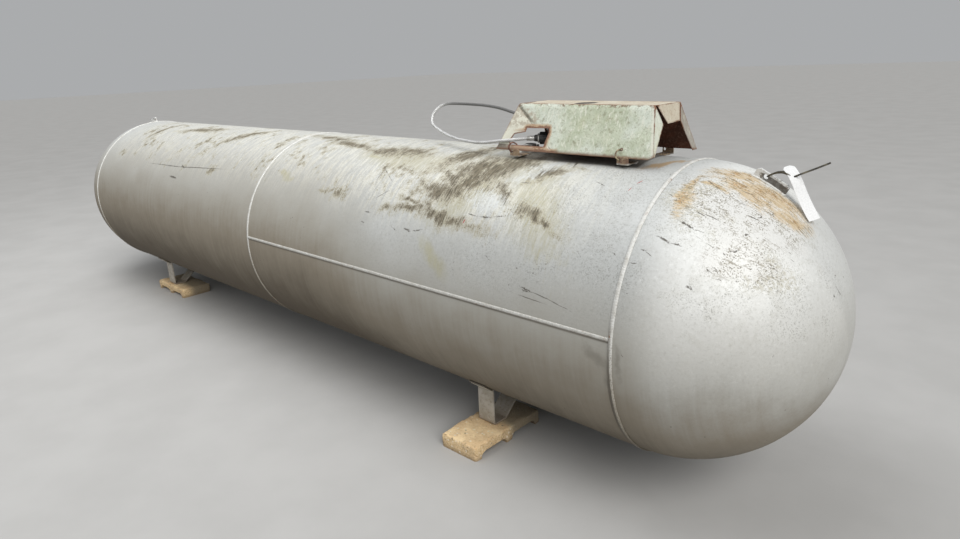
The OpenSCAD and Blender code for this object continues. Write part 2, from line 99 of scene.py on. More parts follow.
class Finish:
    """A node material read off the part's own coordinates, in metres: a first colour,
    then coats of others over it, each where its shares are high."""

    def __init__(self, name):
        self.made = bpy.data.materials.new(name)
        self.made.use_nodes = True
        self.tree = self.made.node_tree
        self.shader = self.tree.nodes["Principled BSDF"]
        self.here = self.put("TexCoord").outputs["Object"]
        self.color = None

    def put(self, kind, wires=None, **settings):
        node = self.tree.nodes.new("ShaderNode" + kind)
        for name, value in settings.items():
            setattr(node, name, value)
        for name, value in (wires or {}).items():
            self.wire(node.inputs[name], value)
        return node

    def wire(self, socket, value):
        if isinstance(value, bpy.types.NodeSocket):
            self.tree.links.new(value, socket)
        else:
            socket.default_value = value

    def moved(self, stretch=(1, 1, 1), at=(0, 0, 0), turn=(0, 0, 0), where=None):
        wires = {"Vector": where or self.here, "Scale": stretch, "Location": at, "Rotation": turn}
        return self.put("Mapping", wires).outputs["Vector"]

    def grain(self, scale, detail=3.0, rough=0.55, warp=0.0, where=None):
        wires = {"Vector": where or self.here, "Scale": scale, "Detail": detail,
                 "Roughness": rough, "Distortion": warp}
        return self.put("TexNoise", wires).outputs["Fac"]

    def cells(self, scale, feature="F1", where=None, spread=1.0):
        wires = {"Vector": where or self.here, "Scale": scale, "Randomness": spread}
        return self.put("TexVoronoi", wires, feature=feature).outputs["Distance"]

    def step(self, value, low, high, to_low=0.0, to_high=1.0):
        wires = {"Value": value, "From Min": low, "From Max": high, "To Min": to_low, "To Max": to_high}
        return self.put("MapRange", wires, interpolation_type="SMOOTHSTEP").outputs["Result"]

    def reckon(self, how, *values):
        node = self.put("Math", operation=how)
        for socket, value in zip(node.inputs, values):
            self.wire(socket, value)
        return node.outputs[0]

    def plus(self, first, second):
        return self.reckon("ADD", first, second)

    def less(self, first, second):
        return self.reckon("SUBTRACT", first, second)

    def times(self, *values):
        product = values[0]
        for value in values[1:]:
            product = self.reckon("MULTIPLY", product, value)
        return product

    def most(self, *values):
        top = values[0]
        for value in values[1:]:
            top = self.reckon("MAXIMUM", top, value)
        return top

    def blend(self, share, first, second):
        node = self.put("Mix", data_type="RGBA")
        for name, value in (("Factor_Float", share), ("A_Color", first), ("B_Color", second)):
            socket = next(s for s in node.inputs if s.identifier == name)
            if isinstance(value, tuple):
                value = (*value, 1.0)
            self.wire(socket, value)
        return next(s for s in node.outputs if s.identifier == "Result_Color")

    def coat(self, tint, *shares):
        """Lays a tint over the colour so far, as thick as the product of its shares."""
        self.color = self.blend(self.times(*shares), self.color, tint)

    def jitter(self, value, amount):
        return self.times(self.less(value, 0.5), amount)

    def band(self, value, low, high, soft):
        return self.times(self.step(value, low - soft, low + soft), self.step(value, high + soft, high - soft))

    def warped(self, scale, amount, detail=3.0):
        """The place moved about by a noise, to fray the edges of marks."""
        cloud = self.put("TexNoise", {"Vector": self.here, "Scale": scale, "Detail": detail}).outputs["Color"]
        shift = self.put("VectorMath", {0: cloud, 1: (0.5, 0.5, 0.5)}, operation="SUBTRACT").outputs[0]
        shift = self.put("VectorMath", {0: shift, "Scale": amount}, operation="SCALE").outputs[0]
        return self.put("VectorMath", {0: self.here, 1: shift}, operation="ADD").outputs[0]

    def nearest(self, marks, where):
        """How near a place is to any of the marks: 0 at their middles, 1 at their edges.
        A mark is its two ends and its width."""
        least = None
        for start, end, width in marks:
            along = end - start
            size = (along.length / 2 + width / 2, width / 2, width / 2)
            wires = {"Vector": where, "Location": (start + end) / 2, "Scale": size,
                     "Rotation": along.to_track_quat("X", "Z").to_euler()}
            local = self.put("Mapping", wires, vector_type="TEXTURE").outputs["Vector"]
            gap = self.put("VectorMath", {0: local}, operation="LENGTH").outputs["Value"]
            least = gap if least is None else self.reckon("MINIMUM", least, gap)
        return least

    def parts(self):
        node = self.put("SeparateXYZ", {"Vector": self.here})
        return node.outputs["X"], node.outputs["Y"], node.outputs["Z"]

    def relief(self, height, depth, below=None):
        wires = {"Height": height, "Distance": depth, "Strength": 1.0}
        if below is not None:
            wires["Normal"] = below
        return self.put("Bump", wires).outputs["Normal"]

    def set(self, color, rough, metal=0.0, normal=None, **fixed):
        self.wire(self.shader.inputs["Base Color"], (*color, 1.0) if isinstance(color, tuple) else color)
        self.wire(self.shader.inputs["Roughness"], rough)
        self.wire(self.shader.inputs["Metallic"], metal)
        if normal is not None:
            self.wire(self.shader.inputs["Normal"], normal)
        for name, value in fixed.items():
            self.shader.inputs[name.replace("_", " ")].default_value = value
        return self.made


def studio_floor():
    half = 60.0
    mesh = bpy.data.meshes.new("studio_floor")
    mesh.from_pydata([(-half, -half, 0), (half, -half, 0), (half, half, 0), (-half, half, 0)], [],
                     [(0, 1, 2, 3)])
    floor = bpy.data.objects.new("studio_floor", mesh)
    scene.collection.objects.link(floor)
    pale = Finish("pale_floor")
    mottle = pale.step(pale.grain(2.5, 5), 0.3, 0.7)
    mesh.materials.append(pale.set(pale.blend(mottle, (0.41, 0.405, 0.395), (0.44, 0.435, 0.425)), 0.8))


studio_floor()


# Hose
# A steel-braided gas hose, 12 mm thick. It leaves the service coupling through the
# window of the cover, stands out in one stiff loop and goes back under the cover.
COVER_MID_X = 1.7085
CREST_Z = 1.143
HOSE_D = 0.012
HOSE_ROUTE = [
    (-206, -94, 52), (-238, -116, 51), (-266, -131, 48), (-298, -144, 45), (-334, -150, 42),
    (-378, -148, 35), (-428, -139, 30), (-486, -125, 27), (-546, -110, 28), (-608, -94, 31),
    (-672, -77, 39), (-728, -60, 49), (-776, -45, 62), (-812, -35, 77), (-830, -22, 98),
    (-833, -5, 122), (-820, 12, 144), (-793, 27, 158), (-753, 35, 161), (-690, 40, 160),
    (-635, 43, 158), (-588, 44, 156), (-542, 44, 152), (-495, 43, 146), (-450, 41, 137),
    (-412, 38, 129), (-370, 36, 120), (-330, 35, 110), (-290, 34, 98), (-244, 34, 83),
]


def placed(points, origin):
    return [Vector(origin) + Vector(point) / 1000 for point in points]


def smooth_route(points, steps):
    """The route with a smooth curve through its points, as a list of places."""
    out = []
    for i in range(len(points) - 1):
        before, here = points[max(i - 1, 0)], points[i]
        there, after = points[i + 1], points[min(i + 2, len(points) - 1)]
        for k in range(steps):
            t = k / steps
            out.append(0.5 * (2 * here + (there - before) * t
                              + (2 * before - 5 * here + 4 * there - after) * t * t
                              + (3 * here - before - 3 * there + after) * t ** 3))
    return out + [points[-1]]


def make_piece(name, points, faces, slot, finish, smooth=35.0, outward=True):
    """A finished mesh at the origin that rides with the tank."""
    mesh = bpy.data.meshes.new(name)
    mesh.from_pydata([tuple(p) for p in points], [], faces)
    if outward:
        shape = bmesh.new()
        shape.from_mesh(mesh)
        bmesh.ops.recalc_face_normals(shape, faces=shape.faces)
        shape.to_mesh(mesh)
        shape.free()
    mesh.shade_smooth()
    if smooth is not None:
        mesh.set_sharp_from_angle(angle=math.radians(smooth))
    mesh.materials.append(finish)
    piece = bpy.data.objects.new(name, mesh)
    scene.collection.objects.link(piece)
    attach(piece, "root")
    return piece


def swept(route, section, up=Vector((0, 0, 1))):
    """Points and faces of a section carried along a route, with both ends closed."""
    count = len(section)
    points, faces = [], []
    side = None
    for i, place in enumerate(route):
        along = (route[min(i + 1, len(route) - 1)] - route[max(i - 1, 0)]).normalized()
        side = (along.cross(up) if side is None else side - along * side.dot(along)).normalized()
        rise = side.cross(along)
        points += [place + side * u + rise * v for u, v in section]
    for i in range(len(route) - 1):
        for k in range(count):
            m = (k + 1) % count
            faces.append((i * count + k, i * count + m, (i + 1) * count + m, (i + 1) * count + k))
    last = (len(route) - 1) * count
    faces.append(tuple(reversed(range(count))))
    faces.append(tuple(last + k for k in range(count)))
    return points, faces


def ring_section(radius, count):
    return [(radius * math.cos(2 * math.pi * k / count), radius * math.sin(2 * math.pi * k / count))
            for k in range(count)]


def braided_steel():
    """Pairs of bright wires crossing at a slant, with dark gaps between them."""
    steel = Finish("braided_steel")
    lay = steel.put("UVMap", uv_map="lay").outputs["UV"]
    place = steel.put("SeparateXYZ", {"Vector": lay})
    along, around = place.outputs["X"], place.outputs["Y"]
    right_hand = steel.reckon("SINE", steel.times(steel.plus(along, around), 37.7))
    left_hand = steel.reckon("SINE", steel.times(steel.less(along, around), 37.7))
    wires = steel.most(right_hand, left_hand)
    gap = steel.step(wires, -0.2, 0.75)
    dull = steel.step(steel.grain(30, 3), 0.35, 0.7)
    y = steel.parts()[1]
    # Painted shade on the return stretch of the loop.
    return_shade = steel.step(y, 0.008, 0.036, 0.0, 0.92)
    wire = steel.blend(dull, (0.90, 0.90, 0.89), (0.70, 0.70, 0.69))
    color = steel.blend(gap, (0.20, 0.20, 0.195), steel.blend(return_shade, wire, (0.075, 0.072, 0.068)))
    return steel.set(color, steel.step(gap, 0, 1, 0.6, 0.34), 0.45, steel.relief(wires, 0.0006))


def make_hose():
    route = smooth_route(placed(HOSE_ROUTE, (COVER_MID_X, 0, CREST_Z)), 10)
    sides = 16
    points, faces = swept(route, ring_section(HOSE_D / 2, sides))
    hose = make_piece("braided_hose", points, faces, "hose", braided_steel(), 60)
    far = [0.0]
    for a, b in zip(route, route[1:]):
        far.append(far[-1] + (b - a).length)
    lay = hose.data.uv_layers.new(name="lay")
    girth = math.pi * HOSE_D
    for face in hose.data.polygons:
        around = [hose.data.loops[c].vertex_index % sides / sides for c in face.loop_indices]
        for c, turn in zip(face.loop_indices, around):
            if max(around) - turn > 0.5:
                turn += 1
            lay.data[c].uv = (far[hose.data.loops[c].vertex_index // sides] / girth, turn)
    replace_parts(hose, "hose")
    tuple(route[0])
    [tuple(p) for p in route]


make_hose()


# Tank
# Two courses of rolled steel plate with a pressed hemispherical head at each end,
# under one old coat of aluminium paint: mildewed on top, brown with dust and painted shade below.
TANK_R = 0.508
AXIS_Z = 0.635
COURSE_L = 2.1
SHELL_T = 0.007
HEAD_T = 0.005
HEAD_X = 2.092
BRUSH_SLANT = (0, 0, 0.10)
SCRAPE_SLANT = (0, 0, -0.20)
SEAM_EDGE = (85.2, 85.7)


def lathe(profile, around, at=(0, 0, 0), axis=(0, 0, 1), closed=False, shape=None):
    """Points and faces of a turned form. Its profile lists (along, radius) from one
    end to the other; shape changes a radius by its angle and its place along."""
    axis = Vector(axis).normalized()
    first = axis.orthogonal().normalized() if abs(axis.x) < 0.9 else Vector((0, 0, 1))
    first = (first - axis * first.dot(axis)).normalized()
    second = axis.cross(first)
    points, rings, faces = [], [], []
    for along, radius in profile:
        ring = []
        for k in range(around if radius > 0 else 1):
            angle = 2 * math.pi * k / around
            r = radius + (shape(angle, along) if shape and radius > 0 else 0)
            ring.append(len(points))
            points.append(Vector(at) + axis * along + (first * math.cos(angle) + second * math.sin(angle)) * r)
        rings.append(ring)
    pairs = list(zip(rings, rings[1:] + ([rings[0]] if closed else [])))
    for low, high in pairs:
        for k in range(around):
            m = (k + 1) % around
            a, b = low[k % len(low)], low[m % len(low)]
            c, d = high[m % len(high)], high[k % len(high)]
            corner = [a]
            for place in (b, c, d):
                if place not in corner:
                    corner.append(place)
            if len(corner) > 2:
                faces.append(tuple(corner))
    return points, faces


# Marks on the courses and on the near head: place along, turn from the top towards the
# front in degrees, for both ends of a mark, and its width in millimetres.
NEAR_COURSE = {
    "chips": [
        (1.731, 19.5, 1.721, 14.3, 7.5), (1.867, 27.2, 1.908, 29.0, 5.0), (1.423, 50.3, 1.485, 51.0, 4.6),
        (1.485, 51.0, 1.548, 50.4, 5.6), (1.547, 50.2, 1.619, 48.2, 3.8), (1.748, 74.0, 1.799, 74.9, 5.8),
        (1.759, 75.1, 1.788, 75.3, 4.8), (1.575, 65.5, 1.602, 67.2, 3.4), (0.882, 57.7, 0.914, 57.7, 5.4),
        (0.878, 62.6, 0.898, 62.8, 6.2), (1.141, 61.6, 1.180, 62.6, 6.9), (1.192, 62.1, 1.240, 60.7, 6.0),
        (1.065, 61.9, 1.102, 63.6, 3.9), (1.718, 67.7, 1.725, 67.9, 3.6), (2.051, 55.5, 2.061, 56.4, 4.8),
    ],
    "scratches": [
        (1.582, 32.3, 1.620, 32.0, 3.5), (1.799, 74.9, 1.897, 76.6, 3.2), (1.736, 77.1, 1.856, 77.9, 2.9),
        (1.857, 75.9, 1.959, 78.2, 2.2), (1.928, 57.3, 1.999, 64.1, 1.8), (1.435, 56.0, 1.432, 66.1, 2.1),
        (1.432, 66.1, 1.445, 76.5, 2.5), (0.815, 31.3, 0.946, 40.2, 4.3), (0.851, 40.8, 0.854, 34.9, 3.8),
        (0.629, 41.5, 0.695, 33.2, 3.1), (0.912, 50.3, 0.969, 45.2, 3.3),
    ],
    "red": [(1.429, 54.7, 1.432, 53.2, 5.3), (2.008, 25.8, 2.019, 23.7, 3.9), (1.998, 30.3, 2.002, 28.3, 2.6)],
    "orange": [(1.992, 14.0, 2.058, 4.9, 40.0)],
    "mildew": [
        (1.190, 41.0, 1.300, 41.5, 44.0), (1.330, 38.0, 1.375, 33.0, 72.0), (1.315, 30.0, 1.385, 22.5, 76.0),
        (1.405, 30.0, 1.445, 23.0, 84.0), (1.465, 24.5, 1.530, 16.5, 60.0), (0.800, 19.5, 0.920, 19.0, 58.0),
        (0.700, 20.5, 0.765, 19.5, 40.0), (1.275, 54.0, 1.455, 55.0, 32.0), (1.020, 53.8, 1.190, 53.2, 20.0),
        (1.080, 49.0, 1.180, 50.0, 14.0), (0.130, 9.0, 0.310, 11.5, 30.0), (0.390, 15.5, 0.560, 18.0, 28.0),
        (1.510, 36.0, 1.560, 41.0, 30.0), (1.700, 46.0, 1.780, 50.0, 22.0), (1.640, 27.0, 1.700, 23.0, 34.0),
        (1.180, 22.0, 1.260, 12.0, 56.0),
    ],
    "smudge": [(2.030, 90.5, 2.092, 94.5, 44.0), (2.080, 96.0, 2.095, 104.0, 24.0)],
    "olive": [(1.350, 46.0, 1.430, 22.0, 180.0), (1.600, 28.0, 1.780, 54.0, 170.0),
              (0.700, 24.0, 1.150, 26.0, 120.0)],
    "flake": [(1.429, 42.8, 1.572, 45.3, 84.0), (1.585, 27.6, 1.647, 19.3, 74.0)],
    "yellow": [(1.270, 66.1, 1.377, 75.4, 59.0), (0.155, 44.1, 0.243, 47.1, 40.0),
               (0.686, 24.6, 0.744, 25.7, 22.0)],
}
FAR_COURSE = {
    "scratches": [
        (-0.410, 23.3, -0.392, 16.1, 8.0), (-1.068, 52.3, -0.423, 48.2, 5.0), (-1.334, 52.4, -0.782, 51.1, 4.5),
        (-0.898, 49.9, -0.853, 51.8, 8.0), (-2.040, 60.0, -1.860, 82.0, 6.0),
    ],
    "chips": [(-0.982, 58.9, -0.895, 59.5, 12.0)],
    "mildew": [(-0.60, 21.0, -0.50, 14.0, 40.0), (-1.25, 16.0, -1.02, 12.0, 34.0),
               (-1.65, 24.0, -1.60, 12.0, 30.0)],
}
NEAR_HEAD = {
    "chips": [
        (2.203, 39.5, 2.247, 41.1, 6.7), (2.247, 41.1, 2.275, 41.0, 4.1), (2.164, 47.0, 2.203, 48.4, 7.6),
        (2.203, 48.4, 2.238, 48.3, 4.5), (2.134, 52.8, 2.148, 52.9, 5.6), (2.113, 57.9, 2.134, 57.7, 4.6),
        (2.353, 44.3, 2.365, 42.8, 6.6), (2.336, 45.8, 2.344, 46.2, 4.0), (2.360, 45.9, 2.370, 45.8, 3.5),
        (2.365, 35.4, 2.371, 34.2, 5.7), (2.387, 54.4, 2.390, 54.0, 4.0), (2.405, 47.6, 2.410, 47.1, 3.6),
        (2.314, 53.5, 2.326, 54.2, 6.5), (2.326, 52.2, 2.340, 52.8, 4.0), (2.281, 61.1, 2.295, 61.5, 6.4),
        (2.340, 55.8, 2.356, 55.8, 3.5), (2.372, 24.8, 2.376, 23.0, 5.8), (2.565, 25.3, 2.569, 25.9, 4.8),
        (2.492, 81.4, 2.494, 83.0, 3.3), (2.137, 88.0, 2.142, 88.7, 3.3), (2.129, 67.7, 2.132, 68.1, 3.8),
    ],
    "scratches": [
        (2.128, 29.0, 2.216, 34.6, 3.2), (2.202, 17.4, 2.274, 21.8, 4.3), (2.276, 21.6, 2.334, 22.2, 3.2),
        (2.231, 10.6, 2.347, 15.4, 3.3), (2.193, 43.8, 2.261, 47.4, 2.0), (2.261, 43.3, 2.314, 45.4, 2.0),
        (2.318, 44.8, 2.334, 60.3, 2.0), (2.230, 33.9, 2.260, 34.7, 3.6), (2.252, 33.9, 2.298, 34.3, 3.1),
        (2.296, 15.7, 2.330, 14.7, 3.3), (2.149, 53.1, 2.171, 54.4, 2.5), (2.350, 26.2, 2.377, 25.7, 3.7),
        (2.560, 17.1, 2.576, 13.4, 2.6),
    ],
    "orange": [
        (2.183, 34.0, 2.170, 26.6, 34.0), (2.173, 24.9, 2.179, 16.9, 26.0), (2.185, 17.2, 2.264, 20.2, 16.0),
        (2.227, 8.0, 2.286, 3.6, 50.0), (2.257, 13.1, 2.350, 15.4, 54.0), (2.318, 10.0, 2.405, 5.0, 62.0),
        (2.415, 15.4, 2.448, 11.1, 44.0),
    ],
    "smudge": [(2.116, 85.0, 2.128, 97.0, 30.0)],
    "flecked": [(2.300, 44.0, 2.370, 62.0, 170.0), (2.300, 34.0, 2.420, 30.0, 220.0)],
    "scraped": [(2.216, 29.0, 2.358, 19.1, 150.0), (2.309, 34.1, 2.434, 23.4, 175.0),
                (2.341, 45.8, 2.421, 45.2, 150.0)],
}


def on_tank(x, turn):
    """The point of the tank's skin at a place along it and a turn in degrees."""
    radius = TANK_R if x < HEAD_X else math.sqrt(TANK_R ** 2 - (x - HEAD_X) ** 2)
    turn = math.radians(turn)
    return Vector((x, -radius * math.sin(turn), AXIS_Z + radius * math.cos(turn)))


def past_weld(finish, x):
    """How far along the tank a place is past its nearest girth weld."""
    courses = finish.times(x, 1 / COURSE_L)
    return finish.times(finish.less(courses, finish.reckon("ROUND", courses)), COURSE_L)


def weathered_silver(name, marks):
    """Brushed aluminium paint, dusty and darkened by painted shade below, mildewed on top, with its own marks.
    """
    paint = Finish(name)
    x, y, z = paint.parts()
    up = paint.less(z, AXIS_Z)
    turn = paint.reckon("ARCTAN2", paint.times(y, -1.0), up)
    skin = paint.put("CombineXYZ", {"X": x, "Y": paint.times(turn, TANK_R), "Z": 0.0}).outputs[0]
    front = paint.times(turn, 180 / math.pi)

    def marked(kind, where):
        on_skin = [(on_tank(a, b), on_tank(c, d), wide / 1000) for a, b, c, d, wide in marks.get(kind, [])]
        return paint.nearest(on_skin, where) if on_skin else 9.0

    broad = paint.grain(1.6, 5, 0.6)
    cloud = paint.grain(6, 6, 0.65)
    blotch = paint.grain(24, 5, 0.7)
    fine = paint.grain(110, 4, 0.7)
    dots = paint.grain(230, 2, 0.6)
    stria = paint.grain(1.0, 4, 0.65, 0.2, paint.moved((60, 8, 1), turn=BRUSH_SLANT, where=skin))
    fibre = paint.grain(1.0, 3, 0.65, 0.1, paint.moved((170, 26, 1), turn=BRUSH_SLANT, where=skin))
    run = paint.grain(1.0, 4, 0.6, 0.0, paint.moved((46, 1.6, 1), where=skin))

    # The paint itself, mottled and brushed on top of the courses.
    paint.color = paint.blend(paint.step(broad, 0.3, 0.7), (0.435, 0.445, 0.435), (0.50, 0.51, 0.50))
    paint.coat((0.30, 0.305, 0.29), paint.step(fine, 0.50, 0.70, 0, 0.55))
    paint.coat((0.62, 0.63, 0.62), paint.step(fine, 0.44, 0.28, 0, 0.45))
    paint.coat((0.36, 0.355, 0.33), paint.step(blotch, 0.50, 0.70, 0, 0.30))
    strokes = paint.times(paint.band(x, -1.95, 1.85, 0.25), paint.band(front, -50, 56, 12))
    paint.coat((0.635, 0.625, 0.56), strokes, paint.step(stria, 0.43, 0.58, 0.15, 0.8))
    paint.coat((0.27, 0.245, 0.185), strokes, paint.step(cloud, 0.36, 0.58),
               paint.step(fibre, 0.50, 0.66, 0, 0.5))
    paint.coat((0.25, 0.225, 0.17), strokes, paint.step(dots, 0.52, 0.66, 0, 0.48))

    # Clean and pale on the near head, with painted light on its upper part; painted shade with dust, then
    # brown, towards the underside.
    haze = paint.plus(up, paint.jitter(cloud, 0.22))
    # Painted shade starts higher up on the far part of the tank.
    haze = paint.less(haze, paint.step(x, 1.15, 0.45, 0.0, 0.21))
    head_side = paint.step(x, 2.095, 2.28)
    crown = paint.times(paint.step(x, 2.40, 2.48), paint.step(front, 40, 6))
    # Pale paint on the near head, laid thickest on its upper part as painted light.
    clean = paint.times(head_side, paint.step(haze, -0.20, 0.10, 0, 0.82), paint.step(x, 2.46, 2.58, 1.0, 0.80))
    clean = paint.times(clean, paint.step(crown, 0, 1, 1.0, 0.50))
    paint.coat((0.76, 0.765, 0.745), clean)
    paint.coat((0.47, 0.465, 0.42), clean, paint.step(blotch, 0.48, 0.66, 0, 0.34))
    paint.coat((0.42, 0.42, 0.385), clean, paint.step(fine, 0.52, 0.68, 0, 0.45))
    paint.coat((0.90, 0.91, 0.89), clean, paint.step(fine, 0.44, 0.30, 0, 0.45))
    # Painted shade on the lower part, half as strong on the near head.
    shade = paint.times(paint.step(haze, 0.30, -0.05), paint.less(1.0, paint.times(head_side, 0.5)))
    paint.coat((0.36, 0.345, 0.305), shade)
    # Dust and painted shade darken the lower part further, brown and then near black.
    dust_and_shade = paint.plus(paint.plus(haze, paint.jitter(run, 0.12)), paint.times(head_side, 0.08))
    paint.coat((0.23, 0.195, 0.145), paint.step(dust_and_shade, 0.06, -0.22, 0, 0.85))
    paint.coat((0.085, 0.066, 0.043), paint.step(dust_and_shade, -0.16, -0.52, 0, 0.92))

    # Mildew in streaks along the brush marks, on an olive tinge, with paler flakes.
    frayed = paint.warped(16, 0.07, 5)
    olive = paint.plus(marked("olive", frayed), paint.plus(paint.jitter(stria, 2.6), paint.jitter(blotch, 1.6)))
    paint.coat((0.385, 0.36, 0.245), paint.step(olive, 1.5, 0.3), paint.step(fibre, 0.38, 0.56, 0.3, 0.75))
    patch = paint.less(1.35, paint.times(marked("mildew", frayed), 0.65))
    loose = paint.less(paint.step(cloud, 0.50, 0.68, -0.9, 0.15), paint.step(strokes, 0.9, 0.2, 0.0, 2.0))
    mould = paint.plus(paint.most(patch, loose), paint.plus(paint.jitter(stria, 1.8), paint.jitter(cloud, 2.4)))
    mould = paint.plus(mould, paint.plus(paint.jitter(fibre, 1.5), paint.jitter(blotch, 2.6)))
    mould = paint.plus(mould, paint.jitter(dots, 1.8))
    paint.coat((0.35, 0.315, 0.215), paint.step(mould, -0.7, 0.5, 0, 0.6))
    core = paint.step(mould, 0.0, 1.2)
    paint.coat((0.150, 0.125, 0.082), core, 0.85)
    paint.coat((0.065, 0.054, 0.038), core, paint.step(fibre, 0.48, 0.60, 0, 0.7))
    flake = paint.plus(marked("flake", paint.warped(30, 0.06, 5)),
                       paint.plus(paint.jitter(stria, 1.6), paint.jitter(fibre, 1.2)))
    paint.coat((0.57, 0.59, 0.585), paint.step(flake, 1.35, 0.55), paint.step(fine, 0.62, 0.45, 0.3, 0.9),
               paint.step(fibre, 0.60, 0.42, 0.35, 0.9))

    paint.coat((0.37, 0.34, 0.19), paint.step(marked("yellow", frayed), 1.5, 0.4),
               paint.step(run, 0.25, 0.6, 0.3, 1.0), 0.6)
    smudge = paint.plus(marked("smudge", frayed), paint.jitter(blotch, 1.2))
    paint.coat((0.205, 0.190, 0.160), paint.step(smudge, 1.3, 0.2, 0, 0.62))
    paint.coat((0.34, 0.035, 0.03), paint.step(marked("red", paint.here), 1.1, 0.7))

    # Rust bloom, and on the near head a scraped, pitted and flecked crown.
    if "scraped" in marks:
        hair = paint.grain(1.0, 5, 0.7, 0.5, paint.moved((30, 150, 1), turn=SCRAPE_SLANT, where=skin))
        drift = paint.warped(8, 0.12, 5)
        bared = paint.plus(marked("scraped", drift), paint.jitter(blotch, 1.2))
        field = paint.step(bared, 1.15, 0.70)
        paint.coat((0.66, 0.66, 0.64), field, paint.step(hair, 0.40, 0.50, 0.35, 0.95))
        ragged = paint.plus(paint.jitter(fine, 1.8), paint.jitter(blotch, 1.6))
        rusty = paint.plus(marked("orange", frayed), paint.plus(paint.jitter(hair, 2.4), ragged))
        paint.coat((0.53, 0.395, 0.215), paint.step(rusty, 2.0, 0.7, 0, 0.85),
                   paint.step(hair, 0.62, 0.46, 0.6, 1.0))
        paint.coat((0.44, 0.245, 0.085), paint.step(rusty, 1.1, 0.2), paint.step(blotch, 0.44, 0.60))
        paint.coat((0.34, 0.30, 0.18), paint.step(bared, 1.6, 0.9), paint.step(cloud, 0.45, 0.62, 0, 0.55),
                   paint.step(fine, 0.42, 0.60))
        worked = paint.most(field, paint.step(rusty, 1.9, 1.2))
        scraped = paint.times(worked, paint.step(hair, 0.47, 0.41, 0, 0.65),
                              paint.step(blotch, 0.40, 0.54, 0.15, 1.0))
        pitted = paint.times(worked, paint.step(dots, 0.545, 0.61, 0, 0.8),
                             paint.step(blotch, 0.40, 0.54, 0.15, 1.0))
        paint.coat((0.165, 0.135, 0.088), paint.most(scraped, pitted))
        speckled = paint.plus(marked("flecked", drift), paint.jitter(blotch, 1.6))
        fleck = paint.cells(42, where=paint.moved((0.55, 1.3, 1), turn=SCRAPE_SLANT, where=skin))
        paint.coat((0.12, 0.11, 0.09), paint.step(fleck, 0.13, 0.06, 0, 0.85), paint.step(speckled, 1.2, 0.7),
                   paint.step(fine, 0.36, 0.5, 0.3, 0.9))
    else:
        ragged = paint.plus(paint.jitter(stria, 2.2), paint.jitter(blotch, 1.4))
        rusty = paint.plus(marked("orange", frayed), ragged)
        paint.coat((0.42, 0.28, 0.14), paint.step(rusty, 1.5, 0.4, 0, 0.8))

    # Dark specks by the near weld, painted shade along the beads, and painted shadow with dirt in the cover's
    # shelter.
    paint.coat((0.19, 0.185, 0.165), paint.step(x, 1.1, 1.6), paint.band(front, 12, 75, 12),
               paint.step(cloud, 0.38, 0.60), paint.step(dots, 0.56, 0.62, 0, 0.62))
    # Painted shade beside the lower part of each girth bead on its far side, and a painted shadow line just
    # below each long seam.
    bead_lee_shade = paint.times(paint.band(past_weld(paint, x), -0.0125, -0.0075, 0.0020),
                         paint.step(up, 0.02, -0.20, 0.0, 0.8))
    low, high = SEAM_EDGE
    near_seam = paint.times(paint.band(front, low, high, 0.35), paint.step(x, -0.002, 0.002),
                            paint.step(x, COURSE_L, COURSE_L - 0.002))
    far_seam = paint.times(paint.band(front, -high, -low, 0.35), paint.step(x, 0.002, -0.002),
                           paint.step(x, -COURSE_L, -COURSE_L + 0.002))
    paint.coat((0.105, 0.088, 0.065), paint.most(bead_lee_shade, paint.times(paint.most(near_seam, far_seam), 0.7)))
    # Painted shadow with dirt on the skin in the cover's shelter.
    paint.coat((0.060, 0.047, 0.036), paint.band(x, 1.462, 1.958, 0.008),
               paint.band(front, -15.6, 15.6, 0.9), 0.72)

    # Chips, scratches and a few bare spots go over everything.
    chip = paint.step(marked("chips", paint.warped(150, 0.012, 3)), 1.2, 0.6)
    chip = paint.times(chip, paint.step(fine, 0.36, 0.50, 0.35, 0.95))
    scratch = paint.step(marked("scratches", paint.warped(70, 0.004, 2)), 1.3, 0.6)
    scratch = paint.times(scratch, paint.step(blotch, 0.36, 0.50, 0.4, 0.9))
    bare = paint.times(paint.step(paint.cells(26), 0.070, 0.045), paint.step(cloud, 0.52, 0.58))
    paint.coat((0.090, 0.080, 0.066), paint.most(chip, scratch, bare))
    rough = paint.step(cloud, 0.3, 0.7, 0.46, 0.60)
    rough = paint.most(rough, paint.step(dust_and_shade, 0.1, -0.3, 0.3, 0.78), paint.times(core, 0.8))
    height = paint.plus(paint.times(fine, 0.4), blotch)
    return paint.set(paint.color, rough, 0.12, paint.relief(height, 0.0011), Specular_IOR_Level=0.4)


def plate_waves(angle, along):
    """How far rolled plate strays from true, and how a girth weld draws it in."""
    place = Vector((along * 1.6, math.cos(angle) * 1.3, math.sin(angle) * 1.3))
    stray = 0.0012 * noise.noise(place) + 0.0004 * noise.noise(place * 5)
    near = min(abs(along - weld) for weld in (-COURSE_L, 0.0, COURSE_L))
    return stray - 0.0012 * math.exp(-(near / 0.06) ** 2)


